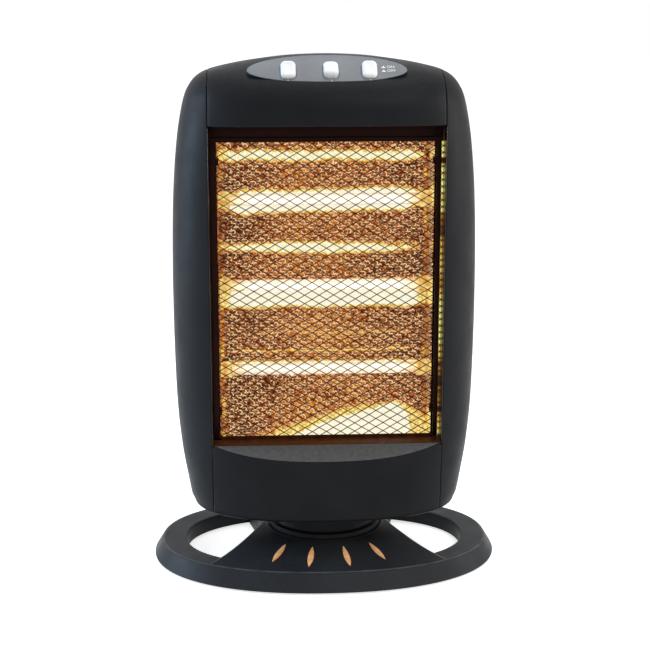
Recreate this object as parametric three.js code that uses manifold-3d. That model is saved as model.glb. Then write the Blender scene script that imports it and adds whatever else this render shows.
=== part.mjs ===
// Halogen heater on an oval swivel base. Millimetres, +Z up, floor at z = 0, front towards -Y.
import * as THREE from 'three';
import { mergeGeometries, mergeVertices } from 'three/addons/utils/BufferGeometryUtils.js';
import Module from 'manifold-3d';

const wasm = await Module();
wasm.setup();
const degree = Math.PI / 180;
const bodyFacets = 36;
const baseFacets = 44;
const roundFacets = 32;
const smallFacets = 20;

// ---- driving dimensions ----
const seatGap = 0.3; // clearance between pieces that touch
const wall = 2.5; // moulded plastic
const sheet = 1; // pressed metal

// oval base
const baseHalfWidth = 170;
const baseHalfDepth = 120;
const baseCurve = 2.2; // superellipse exponent in plan
const rimHeight = 17;
const rimLeanX = 8; // how far the top edge stands in from the foot of the wall
const rimLeanY = 14;
const ringTopX = 24; // flat top of the ring, at the sides and at the front
const ringTopY = 21;
const footRadius = 10;
const footHeight = 2;
const plateThickness = 2;
const waistArcs = [ // the long curves that draw in the apron, front and rear: radius, x, y
  [230, 275.7, 85.8],
  [600, 658.5, -67.8],
];
const hubRadius = 59;
const hubHeight = 31.5;
const apronRadius = 107; // where the apron's cone meets the rim
const hubRimWidth = 2.5;
const hubMargin = 2; // between the hub and a side hole
const hubEdge = 1.2; // chamfer round the hub's top
const recessDepth = 4.5;
const edgeRound = 1.5; // at the rim's upper edge
const glandZ = 9.6;
const glandRadius = 3.2;
const glandFlange = 4.4;
const glandWall = 1;
const glandSeat = 2; // flange behind the rim's upper edge

// slots with amber inserts
const slotFanY = 20; // the slots point at this place behind the hub's centre
const slotFanRadius = 102.7;
const slotAngles = [-27.5, -9.7, 9.7, 27.5];
const slotLength = 33.5;
const slotWidth = 6.5;
const insertProud = 0.4;
const slotSteps = 6; // along each curved side

// swivel
const postRadius = 13;
const postBore = 8;
const postFlangeRadius = 22;
const washerThickness = 1.5;
const neckRadius = 50;
const neckWall = 4;
const turntableLip = 7;
const turntableBore = 6; // wall round the post
const ringThickness = 2;
const ringWidth = 7;
const armThickness = 3;
const armBorder = 3.5; // beside the slot
const armCollar = 4; // round the post
const armLift = 3; // from the retaining ring to the slotted arm
const swivelLimit = 35; // degrees each way
const motorOffset = 42; // motor axis to post axis
const crankPinRadius = 3;
const crankThickness = 3;
const crankHalfWidth = 6;
const pinLength = 4.5;
const pinLift = 0.5; // the pin stays clear of the slotted arm
const motorRadius = 25;
const motorHeight = 20;
const shaftRadius = 3;
const bracketSheet = 1.5;
const bracketHalfDepth = 14;
const bracketReach = 32; // from the crank's circle to a leg
const bracketFoot = 11;
const bracketBore = 5;
const bracketLift = 1.5; // over the crank

// body
const bodyBottom = 58;
const bodyFront = 82;
const bodyBack = 58;
const frontCurve = 2.42;
const backCurve = 3;
const bodyEdge = 3.5; // rounding along the bottom edge
const frontRollStart = 446;
const backRollStart = 440;
const rollFloor = 0.02; // share of the depth that is left at the very top
const silhouetteSteps = 15;
const seamX = 110; // half width of the front pieces
const jointY = 18; // rear cover starts here
const silhouette = [ // half width at a height, from the bottom up
  [129.5, bodyBottom + bodyEdge], [132, 66], [136.4, 90], [140.8, 118], [144.5, 160], [146.2, 220], [146.5, 280],
  [145.7, 331], [143.8, 375], [140.6, 412], [137, 437], [132.8, 456], [128.5, 466], [122, 474.5],
  [113, 480.2], [100, 484.3], [75, 489.4], [40, 494.1], [12, 495.8],
];
const bodyTop = silhouette.at(-1)[1] + 0.2;
const bodyHalfWidth = Math.max(...silhouette.map(([x]) => x));
const openingBottom = 130;
const openingTop = 433.5;
const openingTopSlope = 0.1; // rise of the head's lower edge per mm, towards the front
const sillDrop = 10.5; // fall of the sloping sill in front of the seam plane
const frontPieceBack = -20; // the lower panel's ends stop here
const seamShare = 1 - (seamX / bodyHalfWidth) ** frontCurve;
const seamY = -bodyFront * seamShare ** (1 / frontCurve);

// back of the rear cover
const gripHalf = 50;
const gripLow = 424;
const gripHigh = 449;
const gripDepth = 20;
const louvreNear = 8;
const louvreFar = 84;
const louvreHeight = 6;
const louvrePitch = 14;
const louvreBanks = [{ start: 318, rows: 5 }, { start: 88, rows: 2 }];
const louvreReach = 22; // deep enough to pass the curved wall

// grille and lamps
const guardSetBack = 21.6; // behind the seam
const guardY = seamY + guardSetBack;
const guardSpan = seamX - 1; // half width over the side bars
const guardBar = 5.6;
const guardBarThickness = 2;
const guardRail = 12;
const netWire = 1;
const netColumns = 7;
const netRows = 12;
const clipHeight = 6.5;
const clipLength = 26;
const clipDepth = 7.2;
const clipReach = 9.5;
const clipInsets = [27, 34.5]; // from the opening's bottom and top edges
const trayInsetLow = 5; // reflector inside the opening
const trayInsetHigh = 13.5;
const trayBottom = openingBottom + trayInsetLow;
const trayTop = openingTop - trayInsetHigh;
const trayLip = 3.5; // how far the reflector's lips flare, up and down
const plateX = seamX - 8.5; // inner face of the lamp side plates
const lampPitch = 83;
const lampSetBack = 20;
const lampY = guardY + lampSetBack;
const lampRadius = 5.5;
const lampGlass = 1;
const lampSeat = 3; // length of tube inside its cap
const filamentRadius = 1.5;
const capWall = 2.2;
const capLength = 11;
const capSocket = 6;
const reflectorDepth = 22;
const reflectorSetBack = 11; // behind the lamps
const reflectorFront = lampY + reflectorSetBack;
const reflectorBack = reflectorFront + reflectorDepth;
const troughCurve = 2.2;
const troughSteps = 8;
const platesSetBack = 10; // behind the guard
const shieldGap = 6;
const shieldY = reflectorBack + shieldGap;
const cutout = { halfWidth: 14, height: 14, depth: 8, below: 26 };
const terminals = { x: 34, y: 12, width: 44, depth: 18, height: 15.5 };

// control panel
const panelSlope = 35.6; // degrees
const panelFrontY = 16 - bodyFront;
const panelFrontZ = bodyTop - 22.1;
const panelHalf = 73.5;
const panelFrontSag = 17.2;
const panelBackSag = 22.2;
const panelThickness = 7;
const rockerX = [-35.6, 3.3, 38.6];
const rockerAlong = 16; // from the panel's front edge
const rockerWidth = 14;
const rockerLength = 20;
const rockerProud = 5;
const rockerSink = 5;
const rockerTilt = 8; // degrees from level, each way
const rockerPivot = 3; // below the panel's face
const rockerRound = 3;
const rockerDish = 0.6;
const rockerSideGap = 0.4;
const rockerEndGap = 1; // leaves room for the tilt
const switchDepth = 12;
const switchInset = 0.5; // narrower than its rocker

// tip-over switch
const tipInset = 44; // in from the back of the base
const tipY = baseHalfDepth - tipInset;
const tipRadius = 4;
const tipTravel = 5;
const tipStem = 2;
const tipStemLength = 4;
const tipFlange = 1.5; // wider than the plunger
const tipFlangeThickness = 1;
const tipRoof = 1.2;
const tipHousing = { halfWidth: 12, halfDepth: 7 };

// ---- solids ----
function toSolid(geometry) {
  const bare = geometry.clone();
  for (const name of Object.keys(bare.attributes)) {
    if (name !== 'position') bare.deleteAttribute(name);
  }
  const merged = mergeVertices(bare, 1e-4);
  const place = merged.attributes.position;
  const corners = [];
  let volume = 0;
  const point = [0, 1, 2].map(() => new THREE.Vector3());
  for (let i = 0; i < merged.index.count; i += 3) {
    const ids = [0, 1, 2].map((k) => merged.index.getX(i + k));
    if (ids[0] === ids[1] || ids[1] === ids[2] || ids[0] === ids[2]) continue;
    ids.forEach((id, k) => point[k].fromBufferAttribute(place, id));
    volume += point[0].dot(point[1].clone().cross(point[2]));
    corners.push(ids);
  }
  if (volume < 0) corners.forEach((ids) => ids.reverse());
  return new wasm.Manifold(new wasm.Mesh({
    numProp: 3,
    vertProperties: Float32Array.from(place.array),
    triVerts: Uint32Array.from(corners.flat()),
  }));
}

function toGeometry(solid) {
  const mesh = solid.getMesh();
  const geometry = new THREE.BufferGeometry();
  geometry.setAttribute('position', new THREE.BufferAttribute(mesh.vertProperties, 3));
  geometry.setIndex(new THREE.BufferAttribute(mesh.triVerts, 1));
  return geometry;
}

function joinAll(solids) {
  return solids.reduce((sum, solid) => sum.add(solid));
}

function cutAll(solid, tools) {
  return tools.reduce((rest, tool) => rest.subtract(tool), solid);
}

function box(low, high) {
  const size = high.map((value, i) => value - low[i]);
  const middle = high.map((value, i) => (value + low[i]) / 2);
  return toSolid(new THREE.BoxGeometry(...size).translate(...middle));
}

function sideBox(side, [near, away], [lowY, highY], [lowZ, highZ]) { // on either side of x = 0
  const [low, high] = [side * near, side * away].sort((a, b) => a - b);
  return box([low, lowY, lowZ], [high, highY, highZ]);
}

function extruded(points, depth, basis) {
  const outline = new THREE.Shape(points.map(([a, b]) => new THREE.Vector2(a, b)));
  const geometry = new THREE.ExtrudeGeometry(outline, { depth, bevelEnabled: false });
  return toSolid(geometry.applyMatrix4(basis));
}

function prismX(points, low, high) { // points are [y, z]
  const basis = new THREE.Matrix4().makeBasis(
    new THREE.Vector3(0, 1, 0), new THREE.Vector3(0, 0, 1), new THREE.Vector3(1, 0, 0));
  return extruded(points, high - low, basis.setPosition(low, 0, 0));
}

function prismZ(points, low, high) { // points are [x, y]
  return extruded(points, high - low, new THREE.Matrix4().setPosition(0, 0, low));
}

function turned(profile, segments = roundFacets) { // profile of [radius, z], about the Z axis
  const line = profile.map(([r, z]) => new THREE.Vector2(r, z));
  return toSolid(new THREE.LatheGeometry(line, segments).rotateX(Math.PI / 2));
}

function ring(inner, outer, low, high, segments = roundFacets) {
  const corners = [[inner, low], [outer, low], [outer, high], [inner, high], [inner, low]];
  return turned(corners, segments);
}

function disc(radius, low, high, segments = roundFacets) {
  return turned([[0, low], [radius, low], [radius, high], [0, high]], segments);
}

function rodAlong(axis, radius, low, high, segments = smallFacets) {
  const solid = disc(radius, low, high, segments);
  return axis === 'x' ? solid.rotate([0, 90, 0]) : solid.rotate([-90, 0, 0]);
}

function loft(rings) { // rings of equal length, from the bottom up, closed at both ends
  const count = rings[0].length;
  const positions = rings.flat(2);
  const index = [];
  for (let level = 0; level + 1 < rings.length; level += 1) {
    for (let i = 0; i < count; i += 1) {
      const a = level * count + i;
      const b = level * count + ((i + 1) % count);
      index.push(a, b, b + count, a, b + count, a + count);
    }
  }
  [0, rings.length - 1].forEach((level) => {
    const centre = positions.length / 3;
    const z = rings[level][0][2];
    positions.push(0, 0, z);
    for (let i = 0; i < count; i += 1) {
      const a = level * count + i;
      const b = level * count + ((i + 1) % count);
      index.push(...(level ? [a, b, centre] : [b, a, centre]));
    }
  });
  const geometry = new THREE.BufferGeometry();
  geometry.setAttribute('position', new THREE.Float32BufferAttribute(positions, 3));
  geometry.setIndex(index);
  return toSolid(geometry);
}

function oval(halfWidth, front, back, z, curveFront, curveBack, count) {
  return Array.from({ length: count }, (_, i) => {
    const angle = (i / count) * 2 * Math.PI;
    const [c, s] = [Math.cos(angle), Math.sin(angle)];
    const power = 2 / (s < 0 ? curveFront : curveBack);
    const x = halfWidth * Math.sign(c) * Math.abs(c) ** power;
    const y = (s < 0 ? front : back) * Math.sign(s) * Math.abs(s) ** power;
    return [x, y, z];
  });
}

const group = new THREE.Group();

function addPiece(name, solid, look) {
  const [color, roughness, metalness] = look;
  const material = new THREE.MeshStandardMaterial({ color, roughness, metalness });
  const mesh = new THREE.Mesh(toGeometry(solid), material);
  mesh.name = name;
  group.add(mesh);
}

const charcoal = [0x2a2d31, 0.5, 0];
const black = [0x101113, 0.6, 0];
const slate = [0x6e7378, 0.5, 0];
const white = [0xf2f2f0, 0.35, 0];
const amber = [0xe8964c, 0.4, 0];
const rubber = [0x18181a, 0.9, 0];
const steel = [0xb9bcc0, 0.35, 1];
const mirror = [0xe9e4d8, 0.12, 1];
const ceramic = [0xece6da, 0.7, 0];
const quartz = [0xfff3d6, 0.1, 0];
const glowing = [0xffd9a0, 0.4, 0];

// ---- oval base ----
const plateTop = footHeight + plateThickness;
const recessFloor = hubHeight - recessDepth;
const recessRadius = hubRadius - hubRimWidth;
const rimTopX = baseHalfWidth - rimLeanX;
const rimTopY = baseHalfDepth - rimLeanY;
const tall = 2 * hubHeight; // higher than anything in the base
const glandInnerY = rimTopY - glandSeat;

function baseLoft(inset, bottom) {
  const foot = edgeRound / 3; // small rounding where the wall meets the floor side
  const levels = [
    [baseHalfWidth - foot, baseHalfDepth - foot, bottom],
    [baseHalfWidth, baseHalfDepth, footHeight + edgeRound + foot],
    [rimTopX + edgeRound, rimTopY + edgeRound, rimHeight - edgeRound - inset],
    [rimTopX, rimTopY, rimHeight - inset],
  ];
  const rings = levels.map(([a, b, z]) => (
    oval(a - inset, b - inset, b - inset, z, baseCurve, baseCurve, baseFacets)));
  return loft(rings);
}

function ovalPrism(a, b, low, high) {
  return loft([low, high].map((z) => oval(a, b, b, z, baseCurve, baseCurve, baseFacets)));
}

function waistGaps(grow) { // the two lens-shaped gaps beside the waist
  return [-1, 1].map((side) => {
    const arcs = waistArcs.map(([radius, x, y]) => (
      disc(radius + grow, -1, tall, 2 * baseFacets).translate([side * x, y, 0])));
    return arcs[0].intersect(arcs[1]);
  });
}

function sideHoles(grow) {
  const inside = ovalPrism(rimTopX - ringTopX + grow, rimTopY - ringTopY + grow, -1, tall);
  const hub = disc(hubRadius + hubMargin - grow, -1, tall);
  return joinAll(waistGaps(grow)).intersect(inside).subtract(hub);
}

function apron(drop) {
  const waistTop = recessFloor - wall;
  const start = drop > 0 ? [[recessRadius, waistTop], [hubRadius + 1, hubHeight - hubEdge - drop]]
    : [[hubRadius, hubHeight], [hubRadius + hubEdge, hubHeight - hubEdge]];
  const crown = drop > 0 ? waistTop : hubHeight;
  const floor = drop > 0 ? 0 : footHeight;
  const profile = [[0, crown], ...start, [apronRadius, rimHeight - drop],
    [baseHalfWidth, rimHeight - drop], [baseHalfWidth, floor], [0, floor]];
  const cone = turned(profile, baseFacets)
    .intersect(ovalPrism(rimTopX - drop, rimTopY - drop, 0, tall));
  return cutAll(cone, waistGaps(drop));
}

function slotPrism(angle, grow) {
  const half = slotLength / 2 + grow;
  const bulge = slotWidth / 2 + grow;
  const radius = (half * half + bulge * bulge) / (2 * bulge);
  const sweep = Math.asin(half / radius);
  const side = Array.from({ length: slotSteps + 1 }, (_, i) => sweep * (1 - (2 * i) / slotSteps));
  const arc = side.map((t) => [radius * Math.cos(t) - radius + bulge, radius * Math.sin(t)]);
  const outline = [...arc, ...arc.slice(1, -1).reverse().map(([x, y]) => [-x, y])];
  return prismZ(outline, rimHeight - wall - 2, tall)
    .translate([0, -slotFanRadius, 0]).rotate([0, 0, angle]).translate([0, slotFanY, 0]);
}

function buildBase() {
  const outside = baseLoft(0, footHeight).add(apron(0)).subtract(sideHoles(0));
  const cavity = baseLoft(wall, 0).add(apron(wall)).subtract(sideHoles(wall));
  const shell = cutAll(outside.subtract(cavity), [
    disc(recessRadius, recessFloor, tall),
    disc(postBore, 0, tall),
    rodAlong('y', glandRadius + seatGap, glandInnerY - glandSeat, baseHalfDepth + 1)
      .translate([0, 0, glandZ]),
    ...slotAngles.map((angle) => slotPrism(angle, seatGap)),
  ]);
  addPiece('base_shell', shell, charcoal);

  const plate = baseLoft(wall + seatGap, 0)
    .intersect(box([-baseHalfWidth, -baseHalfDepth, footHeight],
      [baseHalfWidth, baseHalfDepth, plateTop]))
    .subtract(sideHoles(wall + seatGap))
    .subtract(disc(tipRadius + 2 * seatGap, 0, tall).translate([0, tipY, 0]));
  addPiece('base_plate', plate, charcoal);

  slotAngles.forEach((angle, i) => {
    const insert = slotPrism(angle, 0)
      .intersect(apron(0).translate([0, 0, insertProud])).subtract(apron(wall));
    addPiece(`slot_insert_${i + 1}`, insert, amber);
  });

  const middleX = (baseHalfWidth + rimTopX - ringTopX) / 2;
  const middleY = (baseHalfDepth + rimTopY - ringTopY) / 2;
  const lean = 45 * degree;
  const footX = middleX * Math.cos(lean) ** (2 / baseCurve);
  const footY = middleY * Math.sin(lean) ** (2 / baseCurve);
  [[-1, -1], [1, -1], [-1, 1], [1, 1]].forEach(([sx, sy], i) => {
    const foot = turned([[0, 0], [footRadius - 1, 0], [footRadius, 1],
      [footRadius, footHeight - seatGap], [0, footHeight - seatGap]], smallFacets);
    addPiece(`foot_${i + 1}`, foot.translate([sx * footX, sy * footY, 0]), rubber);
  });

  const gland = joinAll([
    rodAlong('y', glandRadius, glandInnerY - glandSeat, baseHalfDepth - wall),
    rodAlong('y', glandFlange, glandInnerY - glandSeat, glandInnerY),
  ]).subtract(rodAlong('y', glandRadius - glandWall, 0, baseHalfDepth));
  addPiece('cord_gland', gland.translate([0, 0, glandZ]), rubber);
}

function buildTipSwitch() {
  const flangeLow = plateTop + tipTravel + seatGap;
  const flangeHigh = flangeLow + tipFlangeThickness;
  const roof = flangeHigh + seatGap;
  const stemTop = roof + tipStemLength;
  const { halfWidth, halfDepth } = tipHousing;
  const housing = cutAll(box([-halfWidth, tipY - halfDepth, plateTop + seatGap],
    [halfWidth, tipY + halfDepth, stemTop + seatGap + tipRoof]), [
    disc(tipRadius + tipFlange + 2 * seatGap, 0, roof, smallFacets).translate([0, tipY, 0]),
    disc(tipStem + seatGap, 0, stemTop + seatGap, smallFacets).translate([0, tipY, 0]),
  ]);
  addPiece('tip_switch_body', housing, black);
  const plunger = turned([[0, 0], [tipRadius - 1, 0], [tipRadius, 1], [tipRadius, flangeLow],
    [tipRadius + tipFlange, flangeLow], [tipRadius + tipFlange, flangeHigh], [tipStem, flangeHigh],
    [tipStem, stemTop], [0, stemTop]], smallFacets);
  addPiece('tip_switch_plunger', plunger.translate([0, tipY, 0]), white);
}

// ---- swivel and its drive ----
const washerLow = recessFloor + seatGap;
const washerHigh = washerLow + washerThickness;
const turntableLow = washerHigh + seatGap;
const panLow = bodyBottom + seatGap;
const panHigh = panLow + wall;
const ringLow = panHigh + seatGap;
const ringHigh = ringLow + ringThickness;
const armLow = ringHigh + armLift;
const armHigh = armLow + armThickness;
const crankLow = armHigh + pinLift + pinLength;
const crankHigh = crankLow + crankThickness;
const crankRadius = motorOffset * Math.sin(swivelLimit * degree);
const bracketLow = crankHigh + bracketLift;
const bracketHigh = bracketLow + bracketSheet;

function stadium(nearY, farY, radius, low, high) { // a slot outline along -Y
  const steps = 8;
  const cap = (centre, turn) => Array.from({ length: steps + 1 }, (_, i) => {
    const angle = turn + (i / steps) * Math.PI;
    return [radius * Math.cos(angle), centre + radius * Math.sin(angle)];
  });
  return prismZ([...cap(nearY, 0), ...cap(farY, Math.PI)], low, high);
}

function buildSwivel() {
  const washer = ring(postFlangeRadius + seatGap, recessRadius - seatGap, washerLow, washerHigh);
  addPiece('swivel_washer', washer, white);
  const post = turned([[postBore, washerLow], [postFlangeRadius, washerLow],
    [postFlangeRadius, washerHigh], [postRadius, washerHigh], [postRadius, armHigh],
    [postBore, armHigh], [postBore, washerLow]]);
  addPiece('centre_post', post, steel);
  addPiece('retaining_ring', ring(postRadius + seatGap, postRadius + ringWidth, ringLow, ringHigh),
    steel);

  const reach = motorOffset + crankRadius;
  const near = motorOffset - crankRadius;
  const slotHalf = crankPinRadius + seatGap;
  const arm = stadium(0, -reach, slotHalf + armBorder, armLow, armHigh)
    .add(disc(postRadius + armCollar, armLow, armHigh))
    .subtract(stadium(-near, -reach, slotHalf, armLow - 1, armHigh + 1))
    .subtract(disc(postRadius + seatGap, armLow - 1, armHigh + 1));
  addPiece('oscillation_arm', arm, steel);

  const turntable = ring(postRadius + seatGap, recessRadius - 2 * seatGap,
    turntableLow, turntableLow + turntableLip)
    .add(ring(postRadius + seatGap, neckRadius, turntableLow, panLow - seatGap))
    .subtract(ring(postRadius + turntableBore, neckRadius - neckWall,
      turntableLow + neckWall, panLow));
  addPiece('turntable', turntable, black);

  const crank = joinAll([
    stadium(0, -crankRadius, crankHalfWidth, crankLow, crankHigh),
    disc(crankPinRadius, crankLow - pinLength, crankLow + 1, smallFacets)
      .translate([0, -crankRadius, 0]),
  ]).subtract(disc(shaftRadius + seatGap, crankLow - 1, crankHigh + 1, smallFacets));
  addPiece('oscillation_crank', crank.translate([0, -motorOffset, 0]), white);

  const motor = disc(motorRadius, bracketHigh + seatGap, bracketHigh + motorHeight)
    .add(disc(shaftRadius, crankLow, bracketHigh + 1, smallFacets))
    .translate([0, -motorOffset, 0]);
  addPiece('oscillation_motor', motor, steel);

  const legX = crankRadius + bracketReach;
  const bracketFloor = panHigh + seatGap;
  const depthY = [-motorOffset - bracketHalfDepth, -motorOffset + bracketHalfDepth];
  const legs = [-1, 1].flatMap((side) => [
    sideBox(side, [legX, legX + bracketSheet], depthY, [bracketFloor, bracketHigh]),
    sideBox(side, [legX, legX + bracketFoot], depthY, [bracketFloor, bracketFloor + bracketSheet]),
  ]);
  const top = box([-legX, depthY[0], bracketLow], [legX, depthY[1], bracketHigh]);
  const bore = disc(bracketBore, bracketLow - 1, bracketHigh + 1, smallFacets);
  const bracket = joinAll([top, ...legs]).subtract(bore.translate([0, -motorOffset, 0]));
  addPiece('motor_bracket', bracket, steel);
}

// ---- body shells ----
function bodyLoft(inset, bottom) {
  const profile = silhouette.map(([x, z]) => new THREE.Vector2(x, z));
  const levels = new THREE.SplineCurve(profile).getPoints(silhouetteSteps).map((p) => [p.x, p.y]);
  levels.unshift([silhouette[0][0] - bodyEdge, bottom]);
  const shrink = (bodyTop - inset - frontRollStart) / (bodyTop - frontRollStart);
  const roll = (z, start) => {
    const rise = Math.max(0, (z - start) / (bodyTop - start));
    return Math.max(rollFloor, Math.sqrt(Math.max(0, 1 - rise ** 2)));
  };
  const rings = levels.map(([w, z], i) => {
    const edge = i === 0 ? bodyEdge : 0;
    const front = (bodyFront - edge) * roll(z, frontRollStart) - inset;
    const back = (bodyBack - edge) * roll(z, backRollStart) - inset;
    const height = z > frontRollStart ? frontRollStart + (z - frontRollStart) * shrink : z;
    return oval(Math.max(1, w - inset), Math.max(0.5, front), Math.max(0.5, back), height,
      frontCurve, backCurve, bodyFacets);
  });
  return loft(rings);
}

const bodySolid = bodyLoft(0, bodyBottom);
const bodyInside = bodyLoft(wall, bodyBottom - 1);
const bodyShell = bodySolid.subtract(bodyInside);
const far = 600;
const slope = panelSlope * degree;

function onPanel(solid) { // from the panel's own frame: x across, y up the slope, z out of its face
  return solid.rotate([panelSlope, 0, 0]).translate([0, panelFrontY, panelFrontZ]);
}

function panelPrism(grow, low, high) {
  const count = 48;
  const outline = Array.from({ length: count }, (_, i) => {
    const angle = (i / count) * 2 * Math.PI;
    const sag = Math.sin(angle) < 0 ? panelFrontSag : panelBackSag;
    return [(panelHalf + grow) * Math.cos(angle),
      panelFrontSag + (sag + grow) * Math.sin(angle)];
  });
  return onPanel(prismZ(outline, low, high));
}

const frontX = seamX - seatGap / 2; // ends of the front pieces
const pillarX = seamX + seatGap / 2;
const frontBack = jointY - seatGap / 2;
const rearFront = jointY + seatGap / 2;
const ledgeBack = guardY - 2 * seatGap - netWire; // the ledges end just before the net
const ahead = seamY - 40; // in front of the whole body

function buildLowerPanel() {
  const sill = openingBottom + (ahead - seamY) * (sillDrop / (bodyFront + seamY));
  const zone = (drop) => [[ahead, 0], [ahead, sill - drop], [seamY, openingBottom - drop],
    [jointY, openingBottom - drop], [jointY, 0]];
  const below = prismX(zone(0), -frontX, frontX);
  const ledge = below.subtract(prismX(zone(wall), -far, far))
    .intersect(box([-frontX, -far, 0], [frontX, ledgeBack, far])).intersect(bodySolid);
  const face = bodyShell.intersect(below).intersect(box([-far, -far, 0], [far, frontPieceBack, far]));
  addPiece('lower_panel', face.add(ledge), charcoal);
}

function buildHead() {
  const lowFront = openingTop + (seamY - ahead) * openingTopSlope;
  const zone = (lift, back) => [[ahead, lowFront + lift], [seamY, openingTop + lift],
    [back, openingTop + lift], [back, far], [ahead, far]];
  const above = prismX(zone(0, frontBack), -frontX, frontX);
  const lip = above.subtract(prismX(zone(wall, jointY), -far, far))
    .intersect(box([-frontX, -far, 0], [frontX, ledgeBack, far])).intersect(bodySolid);
  const head = bodyShell.intersect(above).add(lip)
    .subtract(panelPrism(seatGap, -panelThickness - seatGap, tall));
  addPiece('head', head, charcoal);
}

function buildPillars() {
  [-1, 1].forEach((side) => {
    const pillar = bodySolid
      .intersect(sideBox(side, [pillarX, far], [-far, frontBack], [0, far]))
      .subtract(bodyInside.intersect(
        sideBox(side, [pillarX + wall, far], [-far, far], [bodyBottom + wall, far])));
    addPiece(side < 0 ? 'left_pillar' : 'right_pillar', pillar, charcoal);
  });
}

function buildRearCover() {
  const louvres = [];
  louvreBanks.forEach(({ start, rows }) => {
    for (let row = 0; row < rows; row += 1) {
      const z = start + row * louvrePitch;
      [-1, 1].forEach((side) => louvres.push(sideBox(side, [louvreNear, louvreFar],
        [bodyBack - louvreReach, far], [z, z + louvreHeight])));
    }
  });
  const soles = [-1, 1].map((side) => bodySolid.intersect(
    sideBox(side, [pillarX, far], [rearFront, far], [0, bodyBottom + wall])));
  const gripBox = (grow) => box([-gripHalf - grow, bodyBack - gripDepth - grow, gripLow - grow],
    [gripHalf + grow, far, gripHigh + grow]);
  const skin = bodyShell.intersect(box([-far, rearFront, 0], [far, far, far]));
  const rear = cutAll(joinAll([skin, gripBox(wall).intersect(bodySolid), ...soles]),
    [gripBox(0), ...louvres]);
  addPiece('rear_cover', rear, charcoal);
}

function buildFloorPan() {

  const pan = bodyLoft(wall + seatGap, bodyBottom - 1)
    .intersect(box([-frontX, -far, panLow], [frontX, far, panHigh]))
    .subtract(disc(postRadius + seatGap, 0, far));
  addPiece('floor_pan', pan, black);
}

// ---- control panel ----
function buildControls() {
  const holeX = rockerWidth / 2 + rockerSideGap;
  const holeY = rockerLength / 2 + rockerEndGap;
  const holes = rockerX.map((x) => onPanel(box(
    [x - holeX, rockerAlong - holeY, -2 * panelThickness],
    [x + holeX, rockerAlong + holeY, panelThickness])));
  const panel = cutAll(panelPrism(0, -panelThickness, 0), holes);
  addPiece('control_panel', panel, slate);
  rockerX.forEach((x, i) => {
    const half = rockerLength / 2;
    const rise = rockerPivot + rockerProud;
    const profile = [[-half, rockerPivot - rockerSink], [half, rockerPivot - rockerSink],
      [half, rise - rockerRound], [half - rockerRound / 3, rise - rockerRound / 3],
      [half - rockerRound, rise], [0, rise - rockerDish], [rockerRound - half, rise],
      [rockerRound / 3 - half, rise - rockerRound / 3], [-half, rise - rockerRound]];
    const tilt = i === 1 ? -rockerTilt : rockerTilt;
    const cap = prismX(profile, -rockerWidth / 2, rockerWidth / 2).rotate([tilt, 0, 0])
      .translate([x, rockerAlong, -rockerPivot]);
    addPiece(`rocker_${i + 1}`, onPanel(cap), white);
    const bodyHalf = rockerWidth / 2 - switchInset;
    const bodyTopZ = -panelThickness - seatGap;
    const body = box([x - bodyHalf, rockerAlong - half, bodyTopZ - switchDepth],
      [x + bodyHalf, rockerAlong + half, bodyTopZ]);
    addPiece(`switch_body_${i + 1}`, onPanel(body), black);
  });
}

// ---- lamps and reflector ----
const lampHeights = [1, 0, -1].map((step) => (trayTop + trayBottom) / 2 + step * lampPitch);

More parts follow.
